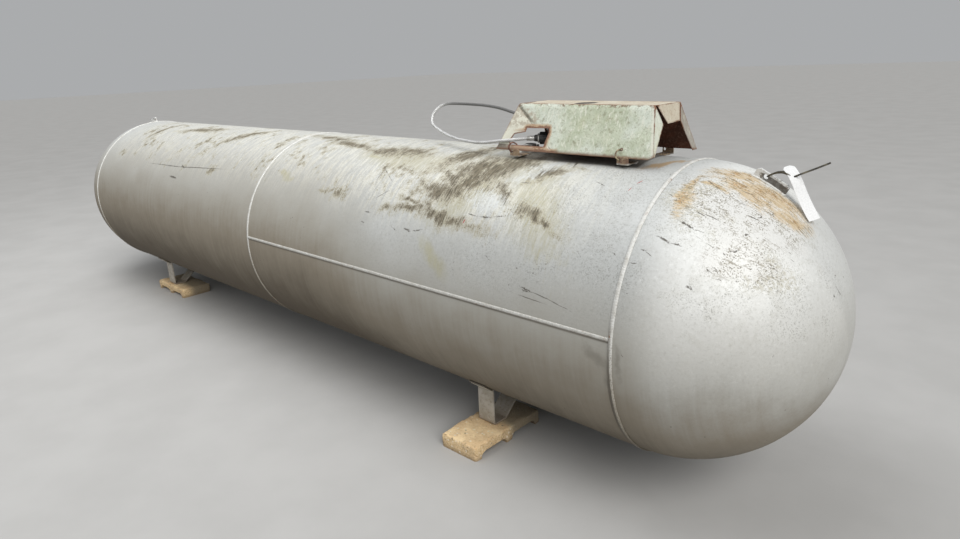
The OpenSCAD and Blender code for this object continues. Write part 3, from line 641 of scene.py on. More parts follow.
def make_tank():
    around, steps = 224, 84
    for name, start, marks in (("course_near", 0.0, NEAR_COURSE), ("course_far", -COURSE_L, FAR_COURSE)):
        paint = weathered_silver(name + "_paint", marks)
        outer = [(start + COURSE_L * i / steps, TANK_R) for i in range(steps + 1)]
        inner = [(start + COURSE_L * i / 4, TANK_R - SHELL_T) for i in range(4, -1, -1)]
        course = make_piece(name, *lathe(outer + inner, around, (0, 0, AXIS_Z), (1, 0, 0), True, plate_waves),
                            "silver_paint", paint, 40)
        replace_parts(course, "shell_near" if start == 0 else "shell_far")
    rings = 44
    for name, side, marks in (("pressed_head_near", 1, NEAR_HEAD), ("pressed_head_far", -1, {})):
        paint = weathered_silver(name + "_paint", marks)
        profile = []
        for r, order in ((TANK_R, range(rings + 1)), (TANK_R - HEAD_T, range(rings, -1, -1))):
            last = math.acos((COURSE_L - HEAD_X) / r)
            for i in order:
                angle = last * i / rings
                profile.append((side * (HEAD_X + r * math.cos(angle)), r * math.sin(angle)))
        head = make_piece(name, *lathe(profile, around, (0, 0, AXIS_Z), (1, 0, 0), False, plate_waves),
                          "silver_paint", paint, 40)
        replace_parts(head, "head_near" if side > 0 else "head_far")


make_tank()


# Welds
# Raised beads run round each joint between courses and heads and along each course,
# laid by machine in small ripples and painted over with the plates.
BEAD_W = 0.0148
BEAD_H = 0.003
RIPPLE = 0.008
SEAM_RISE = math.radians(5.5)
SEAM_SHORT = 0.008


def painted_weld(name="painted_weld", seam_z=None):
    """The plates' paint on a weld, darker below with dust and painted shade, and with
    painted shade on a girth weld's far side and below a long seam's middle line."""
    bead = Finish(name)
    x, y, z = bead.parts()
    up = bead.less(z, AXIS_Z)
    soot = bead.step(bead.grain(45, 5, 0.7), 0.44, 0.62)
    fleck = bead.step(bead.grain(160, 3, 0.7), 0.52, 0.64)
    bead.color = bead.blend(bead.times(soot, 0.3), (0.64, 0.64, 0.615), (0.38, 0.355, 0.295))
    bead.coat((0.27, 0.24, 0.19), fleck, 0.3)
    # Darker towards the bottom with dust and painted shade, as on the plates.
    bead.coat((0.34, 0.30, 0.23), bead.step(up, 0.10, -0.22, 0, 0.8))
    bead.coat((0.13, 0.105, 0.07), bead.step(up, -0.12, -0.45, 0, 0.85))
    if seam_z is None:
        # Painted shade on the far side of a girth bead, lower down.
        bead.coat((0.115, 0.098, 0.072), bead.step(past_weld(bead, x), 0.0020, -0.0010),
                  bead.step(up, 0.18, -0.10, 0.12, 0.92))
    else:
        # Painted shade on the lower half of a long seam's bead.
        bead.coat((0.150, 0.128, 0.095), bead.step(z, seam_z + 0.001, seam_z - 0.006, 0.1, 0.9))
    bead.coat((0.105, 0.09, 0.068), bead.step(bead.grain(330, 2, 0.6), 0.53, 0.60),
              bead.step(up, 0.20, -0.12, 0, 0.75))
    bead.coat((0.20, 0.10, 0.05), bead.step(bead.grain(60, 4, 0.7), 0.58, 0.68),
              bead.step(bead.grain(4, 2), 0.5, 0.6))
    return bead.set(bead.color, 0.55, 0.12, bead.relief(bead.grain(220, 3), 0.0008))


def bead_tree():
    """Grows a bead along a ring or a line, with ripples and a slightly uneven width."""
    tree = bpy.data.node_groups.new("weld_bead", "GeometryNodeTree")
    inputs = (("Ring", "NodeSocketBool", True), ("Radius", "NodeSocketFloat", TANK_R),
              ("Start", "NodeSocketVector", (0, 0, 0)),
              ("End", "NodeSocketVector", (1, 0, 0)), ("Wide", "NodeSocketFloat", BEAD_W),
              ("High", "NodeSocketFloat", BEAD_H), ("Steps", "NodeSocketInt", 1600),
              ("Seed", "NodeSocketFloat", 1.0), ("Finish", "NodeSocketMaterial", None))
    for name, kind, value in inputs:
        socket = tree.interface.new_socket(name, in_out="INPUT", socket_type=kind)
        if value is not None:
            socket.default_value = value
    tree.interface.new_socket("Bead", in_out="OUTPUT", socket_type="NodeSocketGeometry")
    given = tree.nodes.new("NodeGroupInput")
    result = tree.nodes.new("NodeGroupOutput")

    def put(kind, wires, **settings):
        node = tree.nodes.new(kind)
        for name, value in settings.items():
            setattr(node, name, value)
        for key, value in wires.items():
            socket = node.inputs[key]
            if isinstance(value, bpy.types.NodeSocket):
                tree.links.new(value, socket)
            else:
                socket.default_value = value
        return node

    def math_node(how, a, b):
        return put("ShaderNodeMath", {0: a, 1: b}, operation=how).outputs[0]

    give = given.outputs
    ring = put("GeometryNodeCurvePrimitiveCircle", {"Resolution": 64, "Radius": give["Radius"]}, mode="RADIUS")
    upright = put("GeometryNodeTransform", {"Geometry": ring.outputs["Curve"], "Translation": give["Start"],
                                            "Rotation": (0, math.pi / 2, 0)})
    line = put("GeometryNodeCurvePrimitiveLine", {"Start": give["Start"], "End": give["End"]})
    turned = put("GeometryNodeSetCurveTilt", {"Curve": line.outputs["Curve"], "Tilt": math.pi / 2})
    path = put("GeometryNodeSwitch", {"Switch": give["Ring"], "False": turned.outputs["Curve"],
                                      "True": upright.outputs["Geometry"]}, input_type="GEOMETRY")
    even = put("GeometryNodeResampleCurve", {"Curve": path.outputs[0], "Count": give["Steps"]})
    far = put("GeometryNodeSplineParameter", {})
    held = put("GeometryNodeCaptureAttribute", {"Geometry": even.outputs["Curve"]})
    held.capture_items.new("FLOAT", "far")
    tree.links.new(far.outputs["Length"], held.inputs["far"])
    section = put("GeometryNodeCurvePrimitiveCircle", {"Resolution": 12, "Radius": 1.0}, mode="RADIUS")
    half = math_node("MULTIPLY", give["Wide"], 0.5)
    size = put("ShaderNodeCombineXYZ", {"X": half, "Y": give["High"], "Z": 1.0})
    flat = put("GeometryNodeTransform", {"Geometry": section.outputs["Curve"], "Scale": size.outputs[0]})
    tube = put("GeometryNodeCurveToMesh", {"Curve": held.outputs["Geometry"], "Fill Caps": True,
                                           "Profile Curve": flat.outputs["Geometry"]})

    # Ripples along the bead, and swells that differ from weld to weld.
    beat = math_node("SINE", math_node("MULTIPLY", held.outputs["far"], 2 * math.pi / RIPPLE), 0.0)
    lumps = put("ShaderNodeTexNoise", {"W": give["Seed"], "Scale": 34.0, "Detail": 2.0}, noise_dimensions="4D")
    swell = math_node("SUBTRACT", lumps.outputs[0], 0.5)
    total = math_node("ADD", math_node("MULTIPLY", beat, 0.00030), math_node("MULTIPLY", swell, 0.0022))
    normal = put("GeometryNodeInputNormal", {})
    push = put("ShaderNodeVectorMath", {0: normal.outputs["Normal"], "Scale": total}, operation="SCALE")
    shaped = put("GeometryNodeSetPosition", {"Geometry": tube.outputs["Mesh"], "Offset": push.outputs[0]})
    whole = put("GeometryNodeRealizeInstances", {"Geometry": shaped.outputs["Geometry"]})
    painted = put("GeometryNodeSetMaterial", {"Geometry": whole.outputs["Geometry"],
                                              "Material": give["Finish"]})
    tree.links.new(painted.outputs["Geometry"], result.inputs["Bead"])
    return tree


def grow(name, tree, values):
    """The mesh a node tree makes, as an object whose modifier is gone again."""
    seedling = bpy.data.objects.new(name, bpy.data.meshes.new(name + "_start"))
    scene.collection.objects.link(seedling)
    modifier = seedling.modifiers.new(tree.name, "NODES")
    modifier.node_group = tree
    for item in tree.interface.items_tree:
        if item.item_type == "SOCKET" and item.in_out == "INPUT" and item.name in values:
            modifier[item.identifier] = values[item.name]
    seedling.update_tag()
    bpy.context.view_layer.update()
    grown = bpy.data.meshes.new_from_object(seedling.evaluated_get(bpy.context.evaluated_depsgraph_get()))
    grown.name = name
    seedling.modifiers.remove(modifier)
    seedling.data = grown
    grown.shade_smooth()
    return seedling


def make_welds():
    tree, finish = bead_tree(), painted_weld()
    seam_finish = painted_weld("seam_weld", AXIS_Z + TANK_R * math.sin(SEAM_RISE))
    made = []
    for name, place in (("near", COURSE_L), ("middle", 0.0), ("far", -COURSE_L)):
        made.append(("girth_weld_" + name,
                     {"Ring": True, "Start": (place, 0, AXIS_Z), "Steps": 1600, "Finish": finish}))
    for name, start, side in (("near", 0.0, -1), ("far", -COURSE_L, 1)):
        y, z = side * TANK_R * math.cos(SEAM_RISE), AXIS_Z + TANK_R * math.sin(SEAM_RISE)
        made.append(("long_seam_" + name, {"Ring": False, "Start": (start + SEAM_SHORT, y, z),
                                           "End": (start + COURSE_L - SEAM_SHORT, y, z), "Steps": 1050,
                                           "Finish": seam_finish}))
    for seed, (name, values) in enumerate(made):
        bead = grow(name + "_bead", tree, {**values, "Seed": 3.7 * seed})
        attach(bead, "root")
        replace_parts(bead, name)


make_welds()


# Legs
# Four legs of flat strap, bent to a foot and folded back up against the tank, each
# held by a flange and by fillet welds, with the tank's paint carried over them.
LEG_W = 0.082
LEG_T = 0.008
LEG_INNER_BEND = 0.008
LEG_U = 0.300
LEG_SLOPE = math.radians(42)
LEG_FOOT = 0.076
LEG_FLANGE = 0.050
FOOT_V = -0.575
FILLET = 0.0045
LEG_PLACES = (("near_front", 1.395, -1), ("near_back", 1.395, 1), ("far_front", -1.605, -1),
              ("far_back", -1.605, 1))


def arc(middle, radius, start, end, count=8):
    turns = [start + (end - start) * i / count for i in range(count + 1)]
    return [(middle[0] + radius * math.cos(t), middle[1] + radius * math.sin(t)) for t in turns]


def leg_outline():
    """Across the tank, u out to the side and v up from the axis, as in the part."""
    outer = LEG_INNER_BEND + LEG_T
    low, back = math.radians(-90), math.radians(-90) - LEG_SLOPE
    toe = (LEG_U - LEG_FOOT + outer * math.tan(LEG_SLOPE / 2), FOOT_V + outer)
    heel = (LEG_U - outer, FOOT_V + outer)
    on_plate = TANK_R + 0.0002

    def plate_end(radius):
        px, py = toe[0] - radius * math.sin(LEG_SLOPE), toe[1] - radius * math.cos(LEG_SLOPE)
        dx, dy = -math.cos(LEG_SLOPE), math.sin(LEG_SLOPE)
        dot = px * dx + py * dy
        far = -dot - math.sqrt(dot * dot - px * px - py * py + on_plate ** 2)
        return px + far * dx, py + far * dy

    start, turn = math.asin((LEG_U - LEG_T) / on_plate), math.asin(LEG_U / (on_plate + LEG_T))
    end = math.asin(LEG_U / on_plate) + LEG_FLANGE / on_plate
    down = math.radians(-90)
    return ([plate_end(outer)] + arc(toe, outer, back, low) + arc(heel, outer, low, 0)[1:]
            + arc((0, 0), on_plate + LEG_T, down + turn, down + end)
            + arc((0, 0), on_plate, down + end, down + start)
            + arc(heel, LEG_INNER_BEND, 0, low) + arc(toe, LEG_INNER_BEND, low, back)[1:]
            + [plate_end(LEG_INNER_BEND)])


def prism(outline, low, high, layers=1):
    """Points (u, v, w) and faces of an outline drawn out from w = low to high."""
    count, points, faces = len(outline), [], []
    for k in range(layers + 1):
        points += [(u, v, low + (high - low) * k / layers) for u, v in outline]
    for k in range(layers):
        for i in range(count):
            j = (i + 1) % count
            faces.append((k * count + i, k * count + j, (k + 1) * count + j, (k + 1) * count + i))
    faces.append(tuple(reversed(range(count))))
    faces.append(tuple(layers * count + i for i in range(count)))
    return points, faces


def rounded(piece, width, segments=2, angle=35):
    bevel = piece.modifiers.new("worn_edges", "BEVEL")
    bevel.width = width
    bevel.segments = segments
    bevel.limit_method = "ANGLE"
    bevel.angle_limit = math.radians(angle)
    bevel.harden_normals = False


def joined(forms):
    """Several closed forms, each with its points and faces, as one."""
    points, faces = [], []
    for more, walls in forms:
        faces += [tuple(i + len(points) for i in face) for face in walls]
        points += more
    return points, faces


def lay_fillet(route, size, seed):
    """A fillet weld: a bead with swells, laid along a route."""
    noise.seed_set(7)
    return swept([p + Vector(noise.noise_vector(p * 90 + Vector((seed, 0, 0)))) * size * 0.12 for p in route],
                 [(u * 1.05, v * 0.9) for u, v in ring_section(size, 10)])


def strap_paint():
    paint = Finish("strap_paint")
    x, y, z = paint.parts()
    patch = paint.grain(16, 6, 0.7)
    scale = paint.grain(70, 4, 0.7)
    paint.color = paint.blend(paint.step(patch, 0.38, 0.62), (0.44, 0.41, 0.36), (0.33, 0.30, 0.245))
    paint.coat((0.19, 0.15, 0.11), paint.step(scale, 0.54, 0.66), 0.7)
    low = paint.step(paint.plus(z, paint.times(patch, 0.03)), 0.105, 0.068)
    paint.coat((0.17, 0.115, 0.075), low, 0.8)
    inner = paint.step(paint.reckon("ABSOLUTE", y), 0.262, 0.242)
    paint.coat((0.17, 0.14, 0.105), inner, 0.4)
    flange = paint.step(paint.plus(z, paint.jitter(scale, 0.03)), 0.212, 0.226)
    paint.coat((0.52, 0.50, 0.44), flange, paint.step(patch, 0.62, 0.45, 0.3, 0.75))
    height = paint.plus(patch, paint.times(scale, 0.5))
    return paint.set(paint.color, paint.step(scale, 0.3, 0.7, 0.55, 0.75), 0.1, paint.relief(height, 0.002))


def make_legs():
    paint, weld = strap_paint(), bpy.data.materials["painted_weld"]
    outline = leg_outline()
    for seed, (name, middle, side) in enumerate(LEG_PLACES):
        points, faces = prism(outline, -LEG_W / 2, LEG_W / 2, 6)
        spots = [(middle + w, side * u, AXIS_Z + v) for u, v, w in points]
        leg = make_piece("bent_leg_" + name, spots, faces, "strap_paint", paint)
        rounded(leg, 0.0012)
        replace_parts(leg, "leg_" + name)
        end, reach = math.asin(LEG_U / TANK_R) + LEG_FLANGE / TANK_R, TANK_R + LEG_T / 2

        def on_flange(x, turn):
            return Vector((x, side * reach * math.sin(turn), AXIS_Z - reach * math.cos(turn)))

        routes = [[on_flange(middle + LEG_W * (t / 20 - 0.5), end + 0.006) for t in range(21)]]
        for edge in (-1, 1):
            edge_x = middle + edge * (LEG_W / 2 + 0.001)
            routes.append([on_flange(edge_x, end * (0.88 + 0.12 * t / 8)) for t in range(9)])
        beads = [lay_fillet(route, FILLET, seed * 3.1) for route in routes]
        make_piece("leg_fillet_" + name, *joined(beads), "weld", weld, 60)


make_legs()


# Concrete blocks
# Cast blocks laid flat under the feet, two shallow cores open below, arrises knocked
# off and faces pitted. The near pair points outward, the far pair lies along the tank.
BLOCK_H = 0.060
BLOCK_L = 0.397
BLOCK_W = 0.194
CORE_H = 0.026
CORE_L = 0.150
CORE_AT = BLOCK_L / 4 - 0.008
STONE_SIZE = 55.0
BLOCKS = (("near_front", 1.395, -0.2715, 90), ("near_back", 1.395, 0.2715, 90),
          ("far_front", -1.605, -0.223, 0), ("far_back", -1.605, 0.223, 0))


def pitted_concrete():
    cast = Finish("pitted_concrete")
    x, y, z = cast.parts()
    sand = cast.grain(160, 3, 0.7)
    cloud = cast.grain(11, 6, 0.7)
    pits = cast.step(cast.cells(75), 0.22, 0.10)
    cast.color = cast.blend(cast.step(cloud, 0.35, 0.65), (0.75, 0.55, 0.30), (0.54, 0.385, 0.21))
    cast.coat((0.84, 0.72, 0.54), cast.step(sand, 0.5, 0.66), 0.6)
    cast.coat((0.27, 0.18, 0.105), cast.step(sand, 0.46, 0.34), 0.62)
    cast.coat((0.17, 0.115, 0.07), pits, 0.6)
    # Painted sunlight: the top face is lighter and warmer than the sides.
    cast.coat(cast.blend(cast.step(cloud, 0.40, 0.58), (0.98, 0.76, 0.46), (0.80, 0.57, 0.32)),
              cast.step(z, 0.050, 0.057, 0, 0.75))
    stone = cast.step(cast.cells(STONE_SIZE), 0.30, 0.20)
    each = cast.put("TexVoronoi", {"Vector": cast.here, "Scale": STONE_SIZE}).outputs["Color"]
    tone = cast.put("TexWhiteNoise", {"Vector": each}).outputs["Value"]
    cast.coat((0.88, 0.80, 0.66), stone, cast.step(tone, 0.62, 0.70), 0.75)
    cast.coat((0.20, 0.16, 0.115), stone, cast.step(tone, 0.22, 0.14), 0.65)
    # Painted shade with dirt under the tank, and damp by the ground.
    under = cast.plus(cast.reckon("ABSOLUTE", y), cast.times(cloud, 0.05))
    cast.coat((0.20, 0.170, 0.122), cast.step(under, 0.315, 0.250), 0.85)
    damp = cast.plus(z, cast.times(cloud, 0.03))
    cast.coat((0.17, 0.115, 0.07), cast.step(damp, 0.040, 0.012), 0.7)
    height = cast.less(cast.plus(cast.times(sand, 0.35), cloud), cast.times(pits, 0.5))
    return cast.set(cast.color, 0.92, 0.0, cast.relief(height, 0.009))


def pierced(outline, holes, spacing):
    """Triangles that fill an outline and leave its holes open, with points inside."""
    loops = [list(outline)] + [list(hole) for hole in holes]
    points, edges = [], []
    for loop in loops:
        start = len(points)
        for a, b in zip(loop, loop[1:] + loop[:1]):
            count = max(1, round(math.dist(a, b) / spacing))
            points += [(a[0] + (b[0] - a[0]) * k / count,
                        a[1] + (b[1] - a[1]) * k / count) for k in range(count)]
        edges += [(k, k + 1) for k in range(start, len(points) - 1)] + [(len(points) - 1, start)]

    def inside(p, loop):
        odd = False
        for a, b in zip(loop, loop[1:] + loop[:1]):
            across = (a[1] > p[1]) != (b[1] > p[1])
            if across and p[0] < (b[0] - a[0]) * (p[1] - a[1]) / (b[1] - a[1]) + a[0]:
                odd = not odd
        return odd

    def in_sheet(p):
        return inside(p, loops[0]) and not any(inside(p, loop) for loop in loops[1:])

    def edge_gap(p):
        best = 1e9
        for i, j in edges:
            a, b = Vector(points[i]), Vector(points[j])
            near = geometry.intersect_point_line(Vector(p), a, b)[0]
            t = max(0.0, min(1.0, (near - a).dot(b - a) / max((b - a).length_squared, 1e-12)))
            best = min(best, (Vector(p) - a - (b - a) * t).length)
        return best

    lows = [min(p[n] for p in loops[0]) for n in (0, 1)]
    highs = [max(p[n] for p in loops[0]) for n in (0, 1)]
    row = 0
    v = lows[1] + spacing * 0.5
    while v < highs[1]:
        u = lows[0] + spacing * (0.5 if row % 2 else 0.0)
        while u < highs[0]:
            if in_sheet((u, v)) and edge_gap((u, v)) > spacing * 0.55:
                points.append((u, v))
            u += spacing
        v += spacing * 0.87
        row += 1
    verts, _, faces, *_ = geometry.delaunay_2d_cdt([Vector(p) for p in points], edges, [], 0, 1e-7)
    kept = [tuple(f) for f in faces
            if in_sheet((sum(verts[i].x for i in f) / len(f), sum(verts[i].y for i in f) / len(f)))]
    return [tuple(p) for p in verts], kept, [edge_gap(tuple(p)) for p in verts]


def thick_sheet(flat, faces, place, layers=1):
    """Both faces and the cut edges of a sheet; place gives a point on each face."""
    used = sorted({i for face in faces for i in face})
    order = {old: new for new, old in enumerate(used)}
    pairs = [place(*flat[i]) for i in used]
    count = len(used)
    points = [pair[0] for pair in pairs] + [pair[1] for pair in pairs]
    walls = [tuple(order[i] for i in face) for face in faces]
    out = list(walls) + [tuple(i + count for i in reversed(face)) for face in walls]
    turns = {(a, b) for face in walls for a, b in zip(face, face[1:] + face[:1])}
    rim = [(a, b) for a, b in sorted(turns) if (b, a) not in turns]
    steps = {}
    for a in {i for edge in rim for i in edge}:
        steps[a] = [a] + list(range(len(points), len(points) + layers - 1)) + [a + count]
        points += [pairs[a][0].lerp(pairs[a][1], k / layers) for k in range(1, layers)]
    for a, b in rim:
        out += [(steps[b][k], steps[a][k], steps[a][k + 1], steps[b][k + 1]) for k in range(layers)]
    return points, out


def block_side():
    """The side of a block, along it and up, with the tops of its two cores."""
    half = BLOCK_L / 2
    out = [(-half, 0.0)]
    for middle in (-CORE_AT, CORE_AT):
        left, right = middle - CORE_L / 2 + CORE_H, middle + CORE_L / 2 - CORE_H
        out += arc((left, 0), CORE_H, math.pi, math.pi / 2, 6) + arc((right, 0), CORE_H, math.pi / 2, 0, 6)
    return out + [(half, 0.0), (half, BLOCK_H), (-half, BLOCK_H)]


def knocked_about(place, seed):
    """Where a point of a true block lies on the worn one: arrises most of all."""
    seen = place + Vector((seed * 3.3, 0, 0))
    gaps = (BLOCK_L / 2 - abs(place.x), BLOCK_W / 2 - abs(place.y), BLOCK_H - place.z)
    first, second = sorted(gaps)[:2]
    chip = (max(0.0, noise.noise(seen * 22) + 0.08) * 0.020 + max(0.0, noise.noise(seen * 60)) * 0.006
            + 0.0022)
    edge = max(0.0, 1 - (first + second) / 0.014)
    inward = Vector((-math.copysign(1, place.x) if gaps[0] < 0.005 else 0,
                     -math.copysign(1, place.y) if gaps[1] < 0.005 else 0, -1 if gaps[2] < 0.005 else 0))
    pit = 0.0010 * (0.6 + noise.noise(seen * 70)) + 0.0035 * max(0.0, noise.noise(seen * 34) - 0.32)
    moved = place + inward * (edge * chip + pit)
    if place.z > 0.004:
        moved.z += 0.0008 * noise.noise(seen * 50)
    return Vector((moved.x, moved.y, max(moved.z, 0.0)))


def make_blocks():
    cast = pitted_concrete()
    flat, faces, _ = pierced(block_side(), [], 0.0065)

    def place(u, z):
        return Vector((u, -BLOCK_W / 2, z)), Vector((u, BLOCK_W / 2, z))

    for seed, (name, x, y, turn) in enumerate(BLOCKS):
        points, walls = thick_sheet(flat, faces, place, 30)
        turned_round = Matrix.Rotation(math.radians(turn), 3, "Z")
        points = [Vector((x, y, 0)) + turned_round @ knocked_about(p, seed + 1) for p in points]
        block = make_piece("cast_block_" + name, points, walls, "concrete", cast, 50)
        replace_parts(block, "block_" + name)


make_blocks()


# Lifting lugs
# A short flat plate stands on the top of each head along the tank, with a hole for
# a shackle, cut by torch and welded all round.
LUG_L = 0.112
LUG_H = 0.030
LUG_T = 0.010
LUG_CUT = 0.0085
LUG_HOLE_R = 0.008
LUG_HOLE_SIDE = 0.021
LUG_FILLET = 0.0042
LUGS = (("near", 1, math.radians(28)), ("far", -1, math.radians(10.5)))


def lug_outline():
    """Along the head (s) and out from its centre (r), from the foot round the top."""
    half = LUG_L / 2
    foot = [(s, math.sqrt(TANK_R ** 2 - s * s) - 0.0006) for s in [half - LUG_L * i / 16 for i in range(17)]]
    top = TANK_R + LUG_H
    return [(-half, top - LUG_CUT), (-half + LUG_CUT, top), (half - LUG_CUT, top), (half, top - LUG_CUT)] + foot


def painted_plate():
    """A painted highlight along its top edge, chipped white at the outer end, and painted shade on its sides.
    """
    paint = Finish("painted_plate")
    x, y, z = paint.parts()
    blotch = paint.grain(70, 5, 0.7)
    flake = paint.grain(150, 4, 0.7)
    high = paint.put("CombineXYZ", {"X": paint.less(paint.reckon("ABSOLUTE", x), HEAD_X), "Y": y,
                                    "Z": paint.less(z, AXIS_Z)}).outputs[0]
    out = paint.put("VectorMath", {0: high}, operation="LENGTH").outputs["Value"]
    # Painted highlight along the top edge.
    top = paint.step(out, TANK_R + LUG_H - 0.0080, TANK_R + LUG_H - 0.0060)
    end = paint.step(paint.reckon("ABSOLUTE", x), 2.316, 2.304)
    # Painted shade: dark grey sides.
    side = paint.blend(paint.step(blotch, 0.42, 0.58), (0.17, 0.165, 0.155), (0.10, 0.09, 0.08))
    white = paint.blend(paint.step(blotch, 0.50, 0.60), (0.66, 0.66, 0.64), (0.17, 0.15, 0.125))
    paint.color = paint.blend(end, side, white)
    paint.coat((0.66, 0.67, 0.66), top, paint.step(blotch, 0.60, 0.50, 0.4, 0.9))
    paint.coat((0.14, 0.085, 0.055), paint.step(flake, 0.58, 0.68, 0, 0.7))
    return paint.set(paint.color, paint.step(flake, 0.3, 0.7, 0.45, 0.7), 0.15,
                     paint.relief(paint.plus(blotch, paint.times(flake, 0.4)), 0.0015))


def make_lugs():
    paint, weld = painted_plate(), bpy.data.materials["painted_weld"]
    hole = arc((LUG_HOLE_SIDE, TANK_R + LUG_H / 2), LUG_HOLE_R, 0, 2 * math.pi, 24)[:-1]
    flat, faces, _ = pierced(lug_outline(), [hole], 0.006)
    for name, side, angle in LUGS:
        tangent = Vector((-side * math.cos(angle), 0, math.sin(angle)))
        out = Vector((side * math.sin(angle), 0, math.cos(angle)))
        middle = Vector((side * HEAD_X, 0, AXIS_Z))

        def place(s, r):
            where = middle + tangent * s + out * r
            wave = 0.0006 * noise.noise(where * 60)
            return (where + Vector((0, LUG_T / 2 + wave, 0)), where - Vector((0, LUG_T / 2 - wave, 0)))

        lug = make_piece("lifting_plate_" + name, *thick_sheet(flat, faces, place), "silver_paint", paint)
        rounded(lug, 0.0015)
        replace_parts(lug, "lifting_lug_" + name)
        route = []
        for i in range(41):
            turn = (i / 40 - 0.5) * LUG_L / TANK_R
            route.append(middle + (tangent * math.sin(turn) + out * math.cos(turn)) * (TANK_R + 0.0015))
        aside = Vector((0, LUG_T / 2 + 0.001, 0))
        loop = [p - aside for p in route] + [p + aside for p in reversed(route)]
        make_piece("lug_fillet_" + name, *lay_fillet(loop + [loop[0]], LUG_FILLET, 7.7 * side), "weld",
                   weld, 60)


make_lugs()


# Valve cover
# A hood folded from 2 mm sheet: flat top, two sides bent down from it, and ends made
# of flaps and wings. Cream and green paint over rust, torn at its far front corner.
COVER_TOP_Z = 1.319
COVER_TOP_L = 0.557
COVER_TOP_W = 0.168
COVER_H = 0.164
COVER_BOTTOM_W = 0.300
COVER_FLARE = 0.036
SHEET = 0.002
FOLD_R = 0.007
SIDE_LEAN = math.atan((COVER_BOTTOM_W - COVER_TOP_W) / 2 / COVER_H)
END_LEAN = math.atan(COVER_FLARE / COVER_H)
SIDE_L = COVER_H / math.cos(SIDE_LEAN)
END_L = COVER_H / math.cos(END_LEAN)
FOLD_TURN = math.pi / 2 - SIDE_LEAN
FOLD_CUT = FOLD_R * math.tan(FOLD_TURN / 2)
WINDOW_MID = (-0.205, 0.125, 0)
WINDOW_NEAR = (-0.119, 0.125, 0)
WINDOW = [(-0.221, 0.091), (-0.122, 0.089), (-0.116, 0.105), (-0.127, 0.1568),
          (-0.284, 0.1568), (-0.288, 0.140), (-0.273, 0.116), (-0.224, 0.106)]


def dented(where, amount):
    return amount * (noise.noise(where * 7) + 0.45 * noise.noise(where * 21))


def side_place(side, sag):
    """Places of a side's two faces, from x and the distance d down the slope."""
    def place(x, d):
        if d < FOLD_CUT:
            turn = FOLD_TURN * max(d, 0) / FOLD_CUT
            middle = Vector((COVER_MID_X + x, -COVER_TOP_W / 2 + FOLD_CUT, COVER_TOP_Z - FOLD_R))
            out = Vector((0, -math.sin(turn), math.cos(turn)))
            outer = middle + out * FOLD_R
        else:
            out = Vector((0, -math.cos(SIDE_LEAN), math.sin(SIDE_LEAN)))
            outer = Vector((COVER_MID_X + x, -COVER_TOP_W / 2 - d * math.sin(SIDE_LEAN),
                            COVER_TOP_Z - d * math.cos(SIDE_LEAN)))
        outer += out * sag(x, d)
        inner = outer - out * SHEET
        return (outer, inner) if side < 0 else (Vector((outer.x, -outer.y, outer.z)),
                                                Vector((inner.x, -inner.y, inner.z)))
    return place


def top_place(x, y):
    free = min(1.0, max(0.0, COVER_TOP_W / 2 - FOLD_CUT - abs(y)) / 0.02)
    z = COVER_TOP_Z + free * (dented(Vector((x, y, 0)), 0.0022) - 0.0012)
    return Vector((COVER_MID_X + x, y, z)), Vector((COVER_MID_X + x, y, z - SHEET))


def end_place(side, sag):
    def place(y, e):
        out = Vector((math.cos(END_LEAN), 0, math.sin(END_LEAN)))
        outer = Vector((COVER_TOP_L / 2 + e * math.sin(END_LEAN), y, COVER_TOP_Z - e * math.cos(END_LEAN)))
        outer += out * sag(y, e)
        inner = outer - out * SHEET
        return (Vector((COVER_MID_X + side * outer.x, outer.y, outer.z)),
                Vector((COVER_MID_X + side * inner.x, inner.y, inner.z)))
    return place


